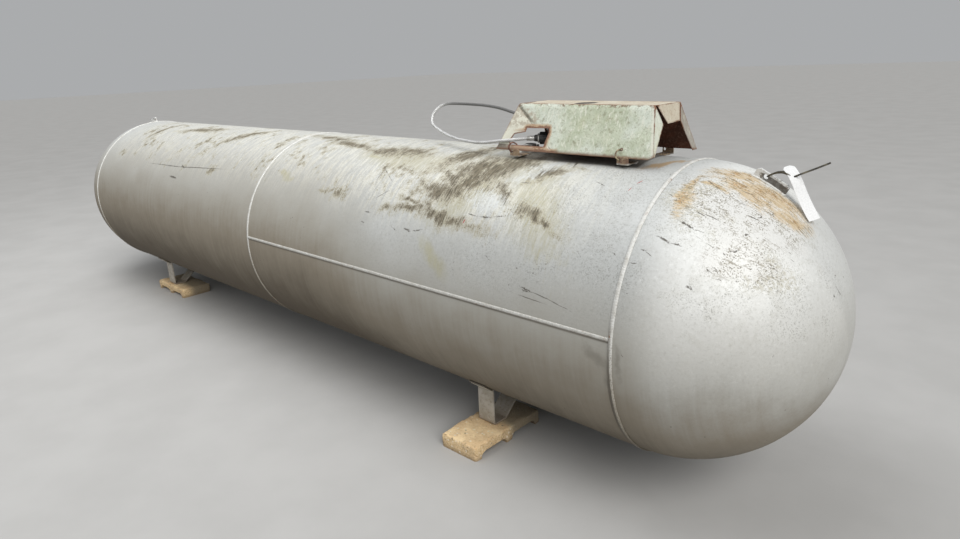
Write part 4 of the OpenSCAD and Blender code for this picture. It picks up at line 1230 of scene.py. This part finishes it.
def cover_finish(name, clean, dull, speck, speckle, rust_in, brushed=False, stained=False, torn=False):
    """Old paint over rust, worn through for rust_in metres from the sheet's cut edges.
    The torn panel has a creased, paler far end and a band of rust by its window."""
    paint = Finish(name)
    rim = paint.put("Attribute", attribute_name="rim").outputs["Fac"]
    x, y, z = paint.parts()
    cloud = paint.grain(13, 6, 0.65)
    fine = paint.grain(210, 4, 0.75)
    mid = paint.grain(55, 5, 0.75)
    wash = paint.grain(4.5, 4, 0.6)
    paint.color = paint.blend(paint.step(cloud, 0.35, 0.65), clean, dull)
    if brushed:
        paint.coat((0.60, 0.64, 0.57), paint.step(wash, 0.54, 0.40, 0, 0.75))
        paint.coat((0.46, 0.455, 0.28), paint.step(wash, 0.56, 0.70, 0, 0.6))
        strokes = paint.grain(1.0, 5, 0.75, 0.3, paint.moved((95, 95, 16), turn=(0, 0.35, 0)))
        paint.coat((0.70, 0.71, 0.62), paint.step(strokes, 0.52, 0.64, 0, 0.7))
    paint.coat(speck, paint.step(fine, 0.62 - speckle * 0.2, 0.70), 0.75)
    paint.coat(speck, paint.step(mid, 0.54, 0.64), speckle)
    smear = paint.grain(1.0, 5, 0.7, 0.2, paint.moved((60, 60, 9)))
    paint.coat((0.62, 0.61, 0.50), paint.step(smear, 0.54, 0.68, 0, 0.45))
    if torn:
        aside = paint.less(x, COVER_MID_X)
        down = paint.times(paint.less(COVER_TOP_Z, z), 1 / math.cos(SIDE_LEAN))
        crease = paint.less(paint.plus(aside, 0.281), paint.times(paint.less(down, 0.012), 1.23))
        far_end = paint.blend(paint.step(fine, 0.52, 0.68, 0, 0.6), (0.64, 0.63, 0.53), (0.34, 0.30, 0.22))
        paint.coat(far_end, paint.step(crease, 0.0025, -0.0025))
        paint.coat((0.17, 0.11, 0.075), paint.step(crease, -0.004, -0.001), paint.step(crease, 0.004, 0.001),
                   paint.step(mid, 0.40, 0.55), 0.85)
        paint.coat((0.36, 0.31, 0.24), paint.step(crease, 0.062, 0.035), paint.step(down, 0.10, 0.075),
                   paint.step(mid, 0.46, 0.54), 0.75)
        paint.coat((0.105, 0.095, 0.065), paint.step(crease, -0.001, 0.001), paint.step(crease, 0.022, 0.010),
                   paint.step(down, 0.085, 0.055), paint.step(fine, 0.40, 0.52, 0.45, 0.95))
        end = paint.plus(COVER_TOP_L / 2, paint.times(down, math.cos(SIDE_LEAN) * math.tan(END_LEAN)))
        paint.coat((0.66, 0.65, 0.56), paint.step(paint.less(aside, end), -0.014, -0.009),
                   paint.step(mid, 0.40, 0.50), 0.8)
        beside = paint.put("CombineXYZ", {"X": aside, "Y": down, "Z": 0.0}).outputs[0]
        away, around = [paint.put("VectorMath", {0: beside, 1: spot}, operation="DISTANCE").outputs["Value"]
                        for spot in (WINDOW_NEAR, WINDOW_MID)]
        sill = paint.times(paint.step(down, 0.1555, 0.1575), paint.step(aside, -0.110, -0.125))
        paint.coat(paint.blend(paint.step(aside, -0.26, -0.31), (0.36, 0.235, 0.150), (0.22, 0.190, 0.155)),
                   sill, paint.step(mid, 0.36, 0.52, 0.55, 0.95))
        paint.coat((0.16, 0.10, 0.062), paint.step(down, 0.016, 0.005), paint.step(mid, 0.50, 0.57),
                   paint.step(cloud, 0.40, 0.55), 0.85)
    wander = paint.plus(rim, paint.jitter(mid, rust_in * 2.2))
    worn = paint.times(paint.step(wander, rust_in, rust_in * 0.35), paint.step(cloud, 0.40, 0.54, 0.25, 1.0))
    if torn:
        thin = paint.times(paint.step(rim, 0.0042, 0.0025), paint.step(around, 0.125, 0.100, 0, 0.9))
        beyond = paint.plus(rim, paint.jitter(mid, 0.030))
        by_window = paint.most(paint.step(away, 0.075, 0.060),
                               paint.times(paint.step(around, 0.085, 0.070), paint.step(down, 0.110, 0.095)))
        band = paint.times(paint.step(beyond, 0.0170, 0.0110), by_window)
        tan = paint.blend(paint.step(fine, 0.42, 0.56), (0.34, 0.175, 0.095), (0.50, 0.40, 0.26))
        paint.coat(tan, band, paint.step(mid, 0.38, 0.50, 0.55, 0.95))
        worn = paint.most(worn, thin, paint.times(paint.step(beyond, 0.0090, 0.0050), by_window, 0.9))
    paint.coat((0.245, 0.125, 0.073), worn)
    paint.coat((0.10, 0.045, 0.028), worn, paint.step(fine, 0.45, 0.6), 0.8)
    if stained:
        spot = paint.put("VectorMath", {0: paint.moved(at=(0.034 - COVER_MID_X, 0.010, -COVER_TOP_Z))},
                         operation="LENGTH")
        stain = paint.step(paint.plus(spot.outputs["Value"], paint.times(mid, 0.02)), 0.058, 0.046)
        paint.coat((0.030, 0.022, 0.018), stain, 0.95)
    low = paint.step(paint.plus(z, paint.times(mid, 0.02)), 1.178, 1.166)
    paint.coat((0.16, 0.085, 0.05), low, 0.85)
    height = paint.plus(paint.times(fine, 0.3), paint.times(paint.less(1.0, worn), 0.8))
    return paint.set(paint.color, paint.step(mid, 0.3, 0.7, 0.55, 0.78), 0.0, paint.relief(height, 0.0009))


def rusted_inside():
    rust = Finish("rusted_inside")
    cloud, fine = rust.grain(18, 6, 0.7), rust.grain(130, 4, 0.7)
    rust.color = rust.blend(rust.step(cloud, 0.38, 0.62), (0.165, 0.052, 0.027), (0.095, 0.036, 0.021))
    rust.coat((0.26, 0.15, 0.10), rust.step(fine, 0.5, 0.66), 0.6)
    return rust.set(rust.color, 0.85, 0.0, rust.relief(fine, 0.0010))


def make_sheet(name, outline, holes, spacing, place, finish, inside, slot, node):
    flat, faces, gaps = pierced(outline, holes, spacing)
    points, out = thick_sheet(flat, faces, place)
    piece = make_piece(name, points, out, slot, finish, 40, False)
    piece.data.materials.append(inside)
    for i in range(len(faces), 2 * len(faces)):
        piece.data.polygons[i].material_index = 1
    used = sorted({i for face in faces for i in face})
    rim = piece.data.attributes.new("rim", "FLOAT", "POINT")
    rim.data.foreach_set("value", [gaps[i] for i in used] * 2)
    shape = bmesh.new()
    shape.from_mesh(piece.data)
    bmesh.ops.recalc_face_normals(shape, faces=shape.faces)
    shape.to_mesh(piece.data)
    shape.free()
    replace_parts(piece, node)
    return piece


def end_half(e):
    return COVER_TOP_W / 2 + e * math.cos(END_LEAN) * math.tan(SIDE_LEAN)


def make_cover():
    cream = cover_finish("cream_paint", (0.56, 0.51, 0.41), (0.47, 0.41, 0.31), (0.30, 0.20, 0.13),
                         0.45, 0.0045, stained=True)
    green = cover_finish("green_paint", (0.50, 0.54, 0.42), (0.40, 0.44, 0.32), (0.20, 0.19, 0.12),
                         0.60, 0.0026, brushed=True, torn=True)
    plain = cover_finish("plain_green_paint", (0.50, 0.54, 0.42), (0.40, 0.44, 0.32), (0.20, 0.19, 0.12),
                         0.60, 0.0030, brushed=True)
    pale = cover_finish("pale_green_paint", (0.60, 0.61, 0.49), (0.52, 0.52, 0.40), (0.26, 0.22, 0.15),
                        0.35, 0.0040, brushed=True)
    pinkish = cover_finish("pinkish_cream_paint", (0.345, 0.325, 0.285), (0.285, 0.26, 0.22),
                           (0.19, 0.14, 0.11), 0.40, 0.0035)
    inside = rusted_inside()
    lean = math.cos(SIDE_LEAN) * math.tan(END_LEAN)
    in_end = SHEET / math.cos(END_LEAN)

    def half_l(d):
        return COVER_TOP_L / 2 + d * lean - in_end

    def front_sag(x, d):
        free = min(1.0, max(0.0, d - FOLD_CUT) / 0.04)
        crease = max(0.0, 1 - abs(d - 0.02 - (-0.225 - x) * 1.3) / 0.02) if x < -0.225 else 0.0
        return free * (dented(Vector((x, d, 3)), 0.0035) + 0.002 * crease)

    def back_sag(x, d):
        return min(1.0, max(0.0, d - FOLD_CUT) / 0.04) * dented(Vector((x, d, 9)), 0.003)

    def end_sag(y, e):
        return min(1.0, e / 0.03) * dented(Vector((y, e, 5)), 0.002)

    half_y = COVER_TOP_W / 2 - FOLD_CUT
    half_x = COVER_TOP_L / 2 - in_end
    outline = [(-half_x, -half_y), (half_x, -half_y), (half_x, half_y), (-half_x, half_y)]
    make_sheet("hood_top", outline, [], 0.012, top_place, cream, inside, "cream_paint", "cover_top")
    top, tip = -0.281, -0.345
    right = half_l(SIDE_L)
    outline = [(top, 0), (half_l(0), 0), (half_l(SIDE_L - 0.009), SIDE_L - 0.009), (right - 0.020, SIDE_L),
               (tip, SIDE_L)]
    ring_hole = [(0.192 + 0.004 * math.cos(math.pi * i / 8),
                  0.1493 + 0.004 * math.sin(math.pi * i / 8)) for i in range(16)]
    make_sheet("hood_front", outline, [WINDOW, ring_hole], 0.008, side_place(-1, front_sag), green, inside,
               "green_paint", "cover_front")
    outline = [(-half_l(0), 0), (half_l(0), 0), (half_l(SIDE_L), SIDE_L), (-half_l(SIDE_L), SIDE_L)]
    make_sheet("hood_back", outline, [], 0.013, side_place(1, back_sag), plain, inside, "green_paint",
               "cover_back")
    flap = [(-end_half(0) + 0.010, 0), (-0.020, 0.064), (0.062, 0.062), (end_half(0) - 0.004, 0)]
    front_wing = [(-end_half(0), 0.001), (-0.051, 0.064), (-end_half(END_L) + 0.010, END_L - 0.009),
                  (-end_half(END_L - 0.009), END_L - 0.009)]
    back_wing = [(end_half(0), 0.001), (0.066, 0.062), (0.120, END_L), (end_half(END_L), END_L)]
    for name, side, shape, finish, slot, node in (
            ("near_flap", 1, flap, cream, "cream_paint", "cover_flap_near"),
            ("near_front_wing", 1, front_wing, pale, "green_paint", "cover_wing_near_front"),
            ("near_back_wing", 1, back_wing, pinkish, "green_paint", "cover_wing_near_back"),
            ("far_flap", -1, flap, cream, "cream_paint", "cover_flap_far"),
            ("far_back_wing", -1, back_wing, pinkish, "green_paint", "cover_wing_far_back")):
        make_sheet("hood_" + name, shape, [], 0.007, end_place(side, end_sag), finish, inside, slot, node)


make_cover()


# Tabs and wire rings
# Four rusty steel tabs are welded to the tank to hold the cover's bottom edges; a
# ring of bent wire through each front tab ties the cover down.
TAB_W = 0.042
TAB_T = 0.005
TAB_CUT = 0.004
TAB_FOOT_Y = 0.088
TAB_FILLET = 0.004
TAB_REACH = 0.1553
TAB_LOW = 1.133
TAB_HIGH = 1.159
RING_SIDE = -0.013
RING_HOLE_Z = 1.149
RING_HOLE_R = 0.005
RING_R = 0.017
WIRE_R = 0.0027
RING_TURN = math.radians(35)
TAB_X = (("near", 1.9135), ("far", 1.4565))


def flaking_rust():
    """Rust with the tank's silver paint still on its lower part."""
    rust = Finish("flaking_rust")
    x, y, z = rust.parts()
    cloud, fine = rust.grain(45, 6, 0.7), rust.grain(190, 4, 0.75)
    rust.color = rust.blend(rust.step(cloud, 0.4, 0.6), (0.155, 0.085, 0.055), (0.34, 0.255, 0.165))
    height = rust.plus(z, rust.jitter(cloud, 0.03))
    rust.coat((0.40, 0.395, 0.365), rust.step(height, 1.139, 1.132))
    rust.coat((0.08, 0.045, 0.03), rust.step(fine, 0.52, 0.66), 0.7)
    return rust.set(rust.color, 0.8, 0.0, rust.relief(rust.plus(cloud, rust.times(fine, 0.5)), 0.0015))


def galvanized_wire(name, tint, spot):
    wire = Finish(name)
    cloud = wire.grain(70, 5, 0.7)
    return wire.set(wire.blend(wire.step(cloud, 0.42, 0.60), tint, spot), wire.step(cloud, 0.3, 0.7, 0.35, 0.6),
                    0.5, wire.relief(cloud, 0.0006))


def make_tabs():
    rust, weld = flaking_rust(), bpy.data.materials["painted_weld"]
    for x_name, x in TAB_X:
        for y_name, side in (("front", -1), ("back", 1)):
            half = TAB_W / 2
            outline = [(-half, TAB_LOW), (half, TAB_LOW), (half, TAB_HIGH - TAB_CUT),
                       (half - TAB_CUT, TAB_HIGH), (-half + TAB_CUT, TAB_HIGH), (-half, TAB_HIGH - TAB_CUT)]
            hole = arc((RING_SIDE, RING_HOLE_Z), RING_HOLE_R, 0, 2 * math.pi, 16)[:-1]
            flat, faces, _ = pierced(outline, [hole], 0.005)

            def place(u, z):
                wave = dented(Vector((u * 3, z * 3, x)), 0.0005)
                return (Vector((x + u, side * (TAB_REACH + wave), z)),
                        Vector((x + u, side * (TAB_REACH - TAB_T + wave), z)))

            foot = []
            for u in (-half, half):
                for y, z in ((TAB_REACH - TAB_T, TAB_LOW), (TAB_REACH - TAB_T, TAB_LOW + TAB_T),
                             (TAB_FOOT_Y, TAB_LOW + TAB_T), (TAB_FOOT_Y, TAB_LOW)):
                    foot.append(Vector((x + u, side * (y + 0.0005), z)))
            sides = [(0, 1, 2, 3), (7, 6, 5, 4), (0, 4, 5, 1), (1, 5, 6, 2), (2, 6, 7, 3), (3, 7, 4, 0)]
            points, walls = joined([thick_sheet(flat, faces, place), (foot, sides)])
            tab = make_piece("tab_" + x_name + "_" + y_name, points, walls, "rusty_steel", rust, 40)
            rounded(tab, 0.0008)
            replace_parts(tab, "cover_lug_" + x_name + "_" + y_name)
            reach = math.acos((TAB_LOW - AXIS_Z - 0.0005) / TANK_R)
            line = [Vector((x + TAB_W * 1.05 * (t / 16 - 0.5), side * TANK_R * math.sin(reach),
                            AXIS_Z + TANK_R * math.cos(reach))) for t in range(17)]
            make_piece("tab_fillet_" + x_name + "_" + y_name, *lay_fillet(line, TAB_FILLET, x * 7 + side),
                       "weld", weld, 60)


def make_rings():
    bright = galvanized_wire("old_wire", (0.46, 0.39, 0.25), (0.12, 0.085, 0.055))
    red = galvanized_wire("rusty_wire", (0.17, 0.075, 0.05), (0.085, 0.042, 0.03))
    ring_y = -TAB_REACH + TAB_T / 2 + RING_R * math.sin(SIDE_LEAN)
    ring_z = RING_HOLE_Z + RING_R * math.cos(SIDE_LEAN)
    tilt = Matrix.Rotation(-SIDE_LEAN, 3, "X") @ Matrix.Rotation(-RING_TURN, 3, "Z")
    for (name, x), finish in zip(TAB_X, (bright, red)):
        route = []
        for i in range(60):
            turn = 2 * math.pi * i / 60
            bend = 0.0005 * noise.noise(Vector((math.cos(turn) * 2, math.sin(turn) * 2, x * 9)))
            spot = Vector((0.0006 * math.sin(turn * 2 + x), (RING_R + bend) * math.cos(turn),
                           (RING_R + bend) * math.sin(turn)))
            route.append(Vector((x + RING_SIDE, ring_y, ring_z)) + tilt @ spot)
        count = 12
        points, faces = [], []
        for i, spot in enumerate(route):
            along = (route[(i + 1) % 60] - route[i - 1]).normalized()
            side = tilt @ Vector((1, 0, 0))
            side = (side - along * side.dot(along)).normalized()
            rise = side.cross(along)
            points += [spot + side * u + rise * v for u, v in ring_section(WIRE_R, count)]
            for k in range(count):
                m, n = (k + 1) % count, (i + 1) % 60
                faces.append((i * count + k, i * count + m, n * count + m, n * count + k))
        ring = make_piece("wire_ring_" + name, points, faces, "ring_wire", finish, 60)
        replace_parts(ring, "lug_ring_" + name)


make_tabs()
make_rings()


# Gauge, valves and couplings
# Brass valves and a steel float gauge are screwed into fittings on the tank's crest,
# under the cover; black coupling nuts hold the hose to the two angle valves.
SERVICE_AT, SERVICE_Z, SERVICE_TURN = (-0.134, -0.043), 0.052, math.radians(215)
RETURN_AT, RETURN_Z, RETURN_TILT = (-0.164, 0.034), 0.057, math.radians(18)
NUT = [(0.0002, 0.0205), (0.0015, 0.0228), (0.004, 0.023), (0.010, 0.023), (0.016, 0.023), (0.022, 0.023),
       (0.0265, 0.0226), (0.0288, 0.0195), (0.0290, 0.0138), (0.036, 0.0138), (0.037, 0.0125),
       (0.044, 0.0125), (0.048, 0.0105)]
FERRULE = [(0.0478, 0.0068), (0.0480, 0.0092), (0.052, 0.0096), (0.053, 0.0086), (0.058, 0.0086),
           (0.059, 0.0092), (0.064, 0.0092), (0.065, 0.0084), (0.075, 0.0084), (0.076, 0.0068)]
COLLAR = [(0.0294, 0.0150), (0.0302, 0.0172), (0.0340, 0.0172), (0.0348, 0.0150)]
WHEEL = [(0.0012, 0.0205), (0.0012, 0.0255), (0, 0.0270), (0.0028, 0.0280), (0.0062, 0.0280),
         (0.009, 0.0268), (0.0078, 0.0225), (0.0046, 0.0205), (0.0046, 0.0085), (0.009, 0.0078)]


def make_group(name, parts, finishes, slot, smooth=35.0):
    """One piece out of several closed forms, each with its own finish."""
    points, faces = joined([part[:2] for part in parts])
    piece = make_piece(name, points, faces, slot, finishes[0], smooth)
    for finish in finishes[1:]:
        piece.data.materials.append(finish)
    marks = [mark for more, walls, mark in parts for wall in walls]
    piece.data.polygons.foreach_set("material_index", marks)
    return piece


def worn_metal(name, bright, dark, metal, rough, tarnish=0.5):
    worn = Finish(name)
    cloud, fine = worn.grain(40, 6, 0.7), worn.grain(170, 4, 0.7)
    worn.color = worn.blend(worn.step(cloud, tarnish - 0.12, tarnish + 0.10), bright, dark)
    worn.coat((dark[0] * 0.5, dark[1] * 0.5, dark[2] * 0.5), worn.step(fine, 0.55, 0.7), 0.5)
    return worn.set(worn.color, worn.step(cloud, 0.3, 0.7, rough, rough + 0.25), metal,
                    worn.relief(fine, 0.0005))


def turned(profile, at, mark, around=40, axis=(0, 0, 1), shape=None):
    """A form turned from (along, radius) pairs and closed at both ends, and its finish."""
    points, faces = lathe([(profile[0][0], 0)] + profile + [(profile[-1][0], 0)], around, at, axis, False,
                          shape)
    return points, faces, mark


def further(profile, start):
    return [(start + along, radius) for along, radius in profile]


def handwheel(at, low, mark):
    def lobes(angle, along):
        return -0.0008 * (1 + math.cos(angle * 8))

    return turned(further(WHEEL, low), at, mark, 64, shape=lobes)


def make_gauge(steel, dial):
    at = (COVER_MID_X - 0.262, -0.048, CREST_Z)
    parts = [turned([(-0.012, 0.0350), (0.0125, 0.0350), (0.014, 0.0335), (0.0142, 0.0232), (0.0225, 0.0230),
                     (0.024, 0.0216), (0.0240, 0.0195)], at, 0, 48),
             turned([(0.0236, 0.0190), (0.0240, 0.0180)], at, 1, 40)]
    for k in range(4):
        turn = math.pi / 4 + k * math.pi / 2
        screw = (at[0] + 0.0290 * math.cos(turn), at[1] + 0.0290 * math.sin(turn), CREST_Z)
        parts.append(turned([(0.012, 0.0048), (0.0195, 0.0048), (0.0205, 0.0038)], screw, 0, 6))
    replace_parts(make_group("float_gauge_dial", parts, [steel, dial], "gauge_steel"), "float_gauge")


def make_angle_valve(name, at, outlet_z, mouth, axis, out, finishes):
    """A hexagon on the tank, a body with its stem and wheel, and an outlet to one side."""
    top = outlet_z + 0.029
    parts = [turned([(-0.004, 0.023), (outlet_z - 0.028, 0.023), (outlet_z - 0.026, 0.0215)], at, 0, 6),
             turned([(outlet_z - 0.027, 0.0145), (outlet_z + 0.012, 0.015), (outlet_z + 0.014, 0.0132),
                     (outlet_z + 0.018, 0.0132), (outlet_z + 0.020, 0.0150), (top - 0.001, 0.015),
                     (top, 0.0138)], at, 0),
             turned([(top - 0.001, 0.006), (outlet_z + 0.0495, 0.006), (outlet_z + 0.050, 0.005)], at, 0, 20),
             turned([(0.010, 0.012), (out - 0.001, 0.012), (out, 0.011)], mouth, 0, 32, axis),
             handwheel(at, outlet_z + 0.042, 1)]
    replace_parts(make_group(name + "_angle_valve", parts, finishes, "brass"), name + "_valve")


def make_coupling(name, mouth, axis, out, finishes):
    """A ribbed nut that starts out from the mouth, and the hose's bright ferrule."""
    def ribs(angle, along):
        return -0.0011 * (0.5 + 0.5 * math.cos(angle * 22)) if 0.003 < along - out < 0.026 else 0.0

    parts = [turned(further(NUT, out), mouth, 0, 132, axis, ribs),
             turned(further(FERRULE, out), mouth, 1, 32, axis),
             turned(further(COLLAR, out), mouth, 1, 48, axis)]
    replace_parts(make_group(name + "_hose_nut", parts, finishes, "black_fitting"), name + "_coupling")


def make_filler(brass):
    at = (COVER_MID_X + 0.060, 0.005, CREST_Z)
    parts = [turned([(-0.004, 0.029), (0.0245, 0.029), (0.026, 0.0275)], at, 0, 6),
             turned([(0.0258, 0.0235), (0.030, 0.0235), (0.031, 0.025), (0.044, 0.025), (0.045, 0.0242),
                     (0.046, 0.025), (0.060, 0.025), (0.062, 0.0235)], at, 0, 48)]
    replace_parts(make_group("filler_cap_valve", parts, [brass], "brass"), "filler_valve")


def make_relief(brass, cap):
    at = (COVER_MID_X + 0.165, -0.005, CREST_Z)
    parts = [turned([(-0.004, 0.026), (0.0285, 0.026), (0.030, 0.0245)], at, 0, 6),
             turned([(0.0298, 0.018), (0.034, 0.018), (0.036, 0.020), (0.084, 0.020), (0.088, 0.0185)],
                    at, 0, 48),
             turned([(0.088, 0.0245), (0.0885, 0.026), (0.094, 0.026), (0.096, 0.0235)], at, 1, 48)]
    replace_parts(make_group("relief_cap_valve", parts, [brass, cap], "brass"), "relief_valve")


def make_valves():
    brass = worn_metal("dull_brass", (0.42, 0.31, 0.15), (0.20, 0.17, 0.11), 0.8, 0.38)
    enamel = worn_metal("wheel_enamel", (0.09, 0.075, 0.06), (0.05, 0.045, 0.04), 0.1, 0.5)
    steel = worn_metal("gauge_steel", (0.55, 0.55, 0.53), (0.36, 0.34, 0.31), 0.3, 0.40)
    dial = worn_metal("dial_plate", (0.52, 0.58, 0.58), (0.34, 0.37, 0.36), 0.0, 0.22)
    black = worn_metal("black_fitting", (0.028, 0.028, 0.028), (0.085, 0.078, 0.07), 0.2, 0.36, 0.55)
    bright = worn_metal("crimped_ferrule", (0.62, 0.62, 0.60), (0.34, 0.33, 0.31), 0.5, 0.30)
    make_gauge(steel, dial)
    for name, (x, y), outlet_z, turn, tilt, out in (
            ("service", SERVICE_AT, SERVICE_Z, SERVICE_TURN, 0.0, 0.040),
            ("return", RETURN_AT, RETURN_Z, math.pi, RETURN_TILT, 0.036)):
        at = (COVER_MID_X + x, y, CREST_Z)
        mouth = Vector((COVER_MID_X + x, y, CREST_Z + outlet_z))
        axis = Vector((math.cos(tilt) * math.cos(turn), math.cos(tilt) * math.sin(turn), math.sin(tilt)))
        make_angle_valve(name, at, outlet_z, mouth, axis, out, [brass, enamel])
        make_coupling(name, mouth, axis, out, [black, bright])
    make_filler(brass)
    make_relief(brass, enamel)


make_valves()


# Cable tie and tag
# A black nylon tie is looped through the near lug and holds a stiff white paper tag,
# left blank, whose top is bent over the tie's tail.
LUG_TURN = LUGS[0][2]
LUG_HOLE_OUT = TANK_R + LUG_H / 2
TIE_HOLE = Vector((HEAD_X + LUG_HOLE_OUT * math.sin(LUG_TURN) - LUG_HOLE_SIDE * math.cos(LUG_TURN), 0,
                   AXIS_Z + LUG_HOLE_OUT * math.cos(LUG_TURN) + LUG_HOLE_SIDE * math.sin(LUG_TURN)))
TIE_ROUTE = [(72, 5, 4), (64, -1, 11), (50, -7, 17), (28, -10, 14), (10.8, -9, 5), (5.8, -5.4, 1), (5.8, 0, 1),
             (5.8, 5.4, 1), (10.8, 9, 5), (28, 11, 14), (50, 10, 17), (64, 9, 11), (72, 8, 4), (80, 8, 6),
             (100, 9, 16), (135, 12, 33), (172, 15, 52)]
TAG_LOW = (154, -12, -112)
TAG_W = 0.035
TAG_T = 0.0008
TAG_BEND = [(0, 0), (-27, 20), (-54, 37), (-83, 51), (-108, 62), (-127, 74), (-141, 88), (-148, 104)]
TAG_HOLE_AT = (-122, 70.8)


def make_tie():
    nylon = Finish("black_nylon")
    haze = nylon.grain(90, 4)
    finish = nylon.set(nylon.blend(nylon.step(haze, 0.4, 0.65), (0.030, 0.027, 0.020), (0.115, 0.100, 0.065)),
                       nylon.step(haze, 0.3, 0.7, 0.35, 0.55), 0.0, nylon.relief(haze, 0.0004))
    route = smooth_route(placed(TIE_ROUTE, TIE_HOLE), 10)
    band = [(-0.0026, -0.0009), (0.0026, -0.0009), (0.0026, 0.0009), (-0.0026, 0.0009)]
    points, faces = swept(route, band, Vector((0, 1, 0.2)))
    middle = TIE_HOLE + Vector((0.0725, 0.007, 0.003))
    turn = Matrix.Rotation(math.radians(-25), 3, "Y")
    box = [middle + turn @ Vector((x * 0.003, y * 0.004, z * 0.003))
           for x in (-1, 1) for y in (-1, 1) for z in (-1, 1)]
    walls = [(0, 1, 3, 2), (6, 7, 5, 4), (4, 5, 1, 0), (2, 3, 7, 6), (0, 2, 6, 4), (5, 7, 3, 1)]
    tie = make_group("nylon_tie", [(points, faces, 0), (box, walls, 0)], [finish], "black_plastic")
    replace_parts(tie, "cable_tie")


def make_tag():
    card = Finish("tag_card")
    fibre = card.grain(240, 3, 0.6)
    finish = card.set(card.blend(card.step(fibre, 0.35, 0.65), (0.74, 0.745, 0.745), (0.66, 0.665, 0.665)),
                      0.55, 0.0, card.relief(fibre, 0.0002))
    turn = Matrix.Rotation(math.radians(51.7), 3, "Z") @ Matrix.Rotation(math.radians(75.5), 3, "Y")
    bend = smooth_route([Vector((u, v, 0)) / 1000 for u, v in TAG_BEND], 6)
    far = [0.0]
    for a, b in zip(bend, bend[1:]):
        far.append(far[-1] + (b - a).length)
    hole_far = min(range(len(bend)), key=lambda i: (bend[i] - Vector((*TAG_HOLE_AT, 0)) / 1000).length)
    half = TAG_W / 2
    top = far[-1]
    outline = [(0, -half), (top - 0.010, -half), (top, -half + 0.009), (top, half - 0.009),
               (top - 0.010, half), (0, half)]
    hole = arc((far[hole_far], 0), 0.0029, 0, 2 * math.pi, 20)[:-1]
    flat, faces, _ = pierced(outline, [hole], 0.005)

    def place(s, w):
        i = max(k for k in range(len(far) - 1) if far[k] <= max(s, 0) + 1e-9)
        t = (s - far[i]) / (far[i + 1] - far[i])
        spot = bend[i].lerp(bend[i + 1], t)
        before, after = bend[max(i - 1, 0)], bend[min(i + 2, len(bend) - 1)]
        along = (bend[i + 1] - before).normalized() * (1 - t) + (after - bend[i]).normalized() * t
        along.normalize()
        out = Vector((-along.y, along.x, 0))
        spot = spot + out * (0.0006 * noise.noise(Vector((s * 30, w * 30, 2)))) + Vector((0, 0, w))
        return [TIE_HOLE + Vector(TAG_LOW) / 1000 + turn @ (spot + out * (side * TAG_T / 2))
                for side in (1, -1)]

    tag = make_piece("paper_tag", *thick_sheet(flat, faces, place), "tag_paper", finish, 50)
    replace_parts(tag, "blank_tag")


make_tie()
make_tag()
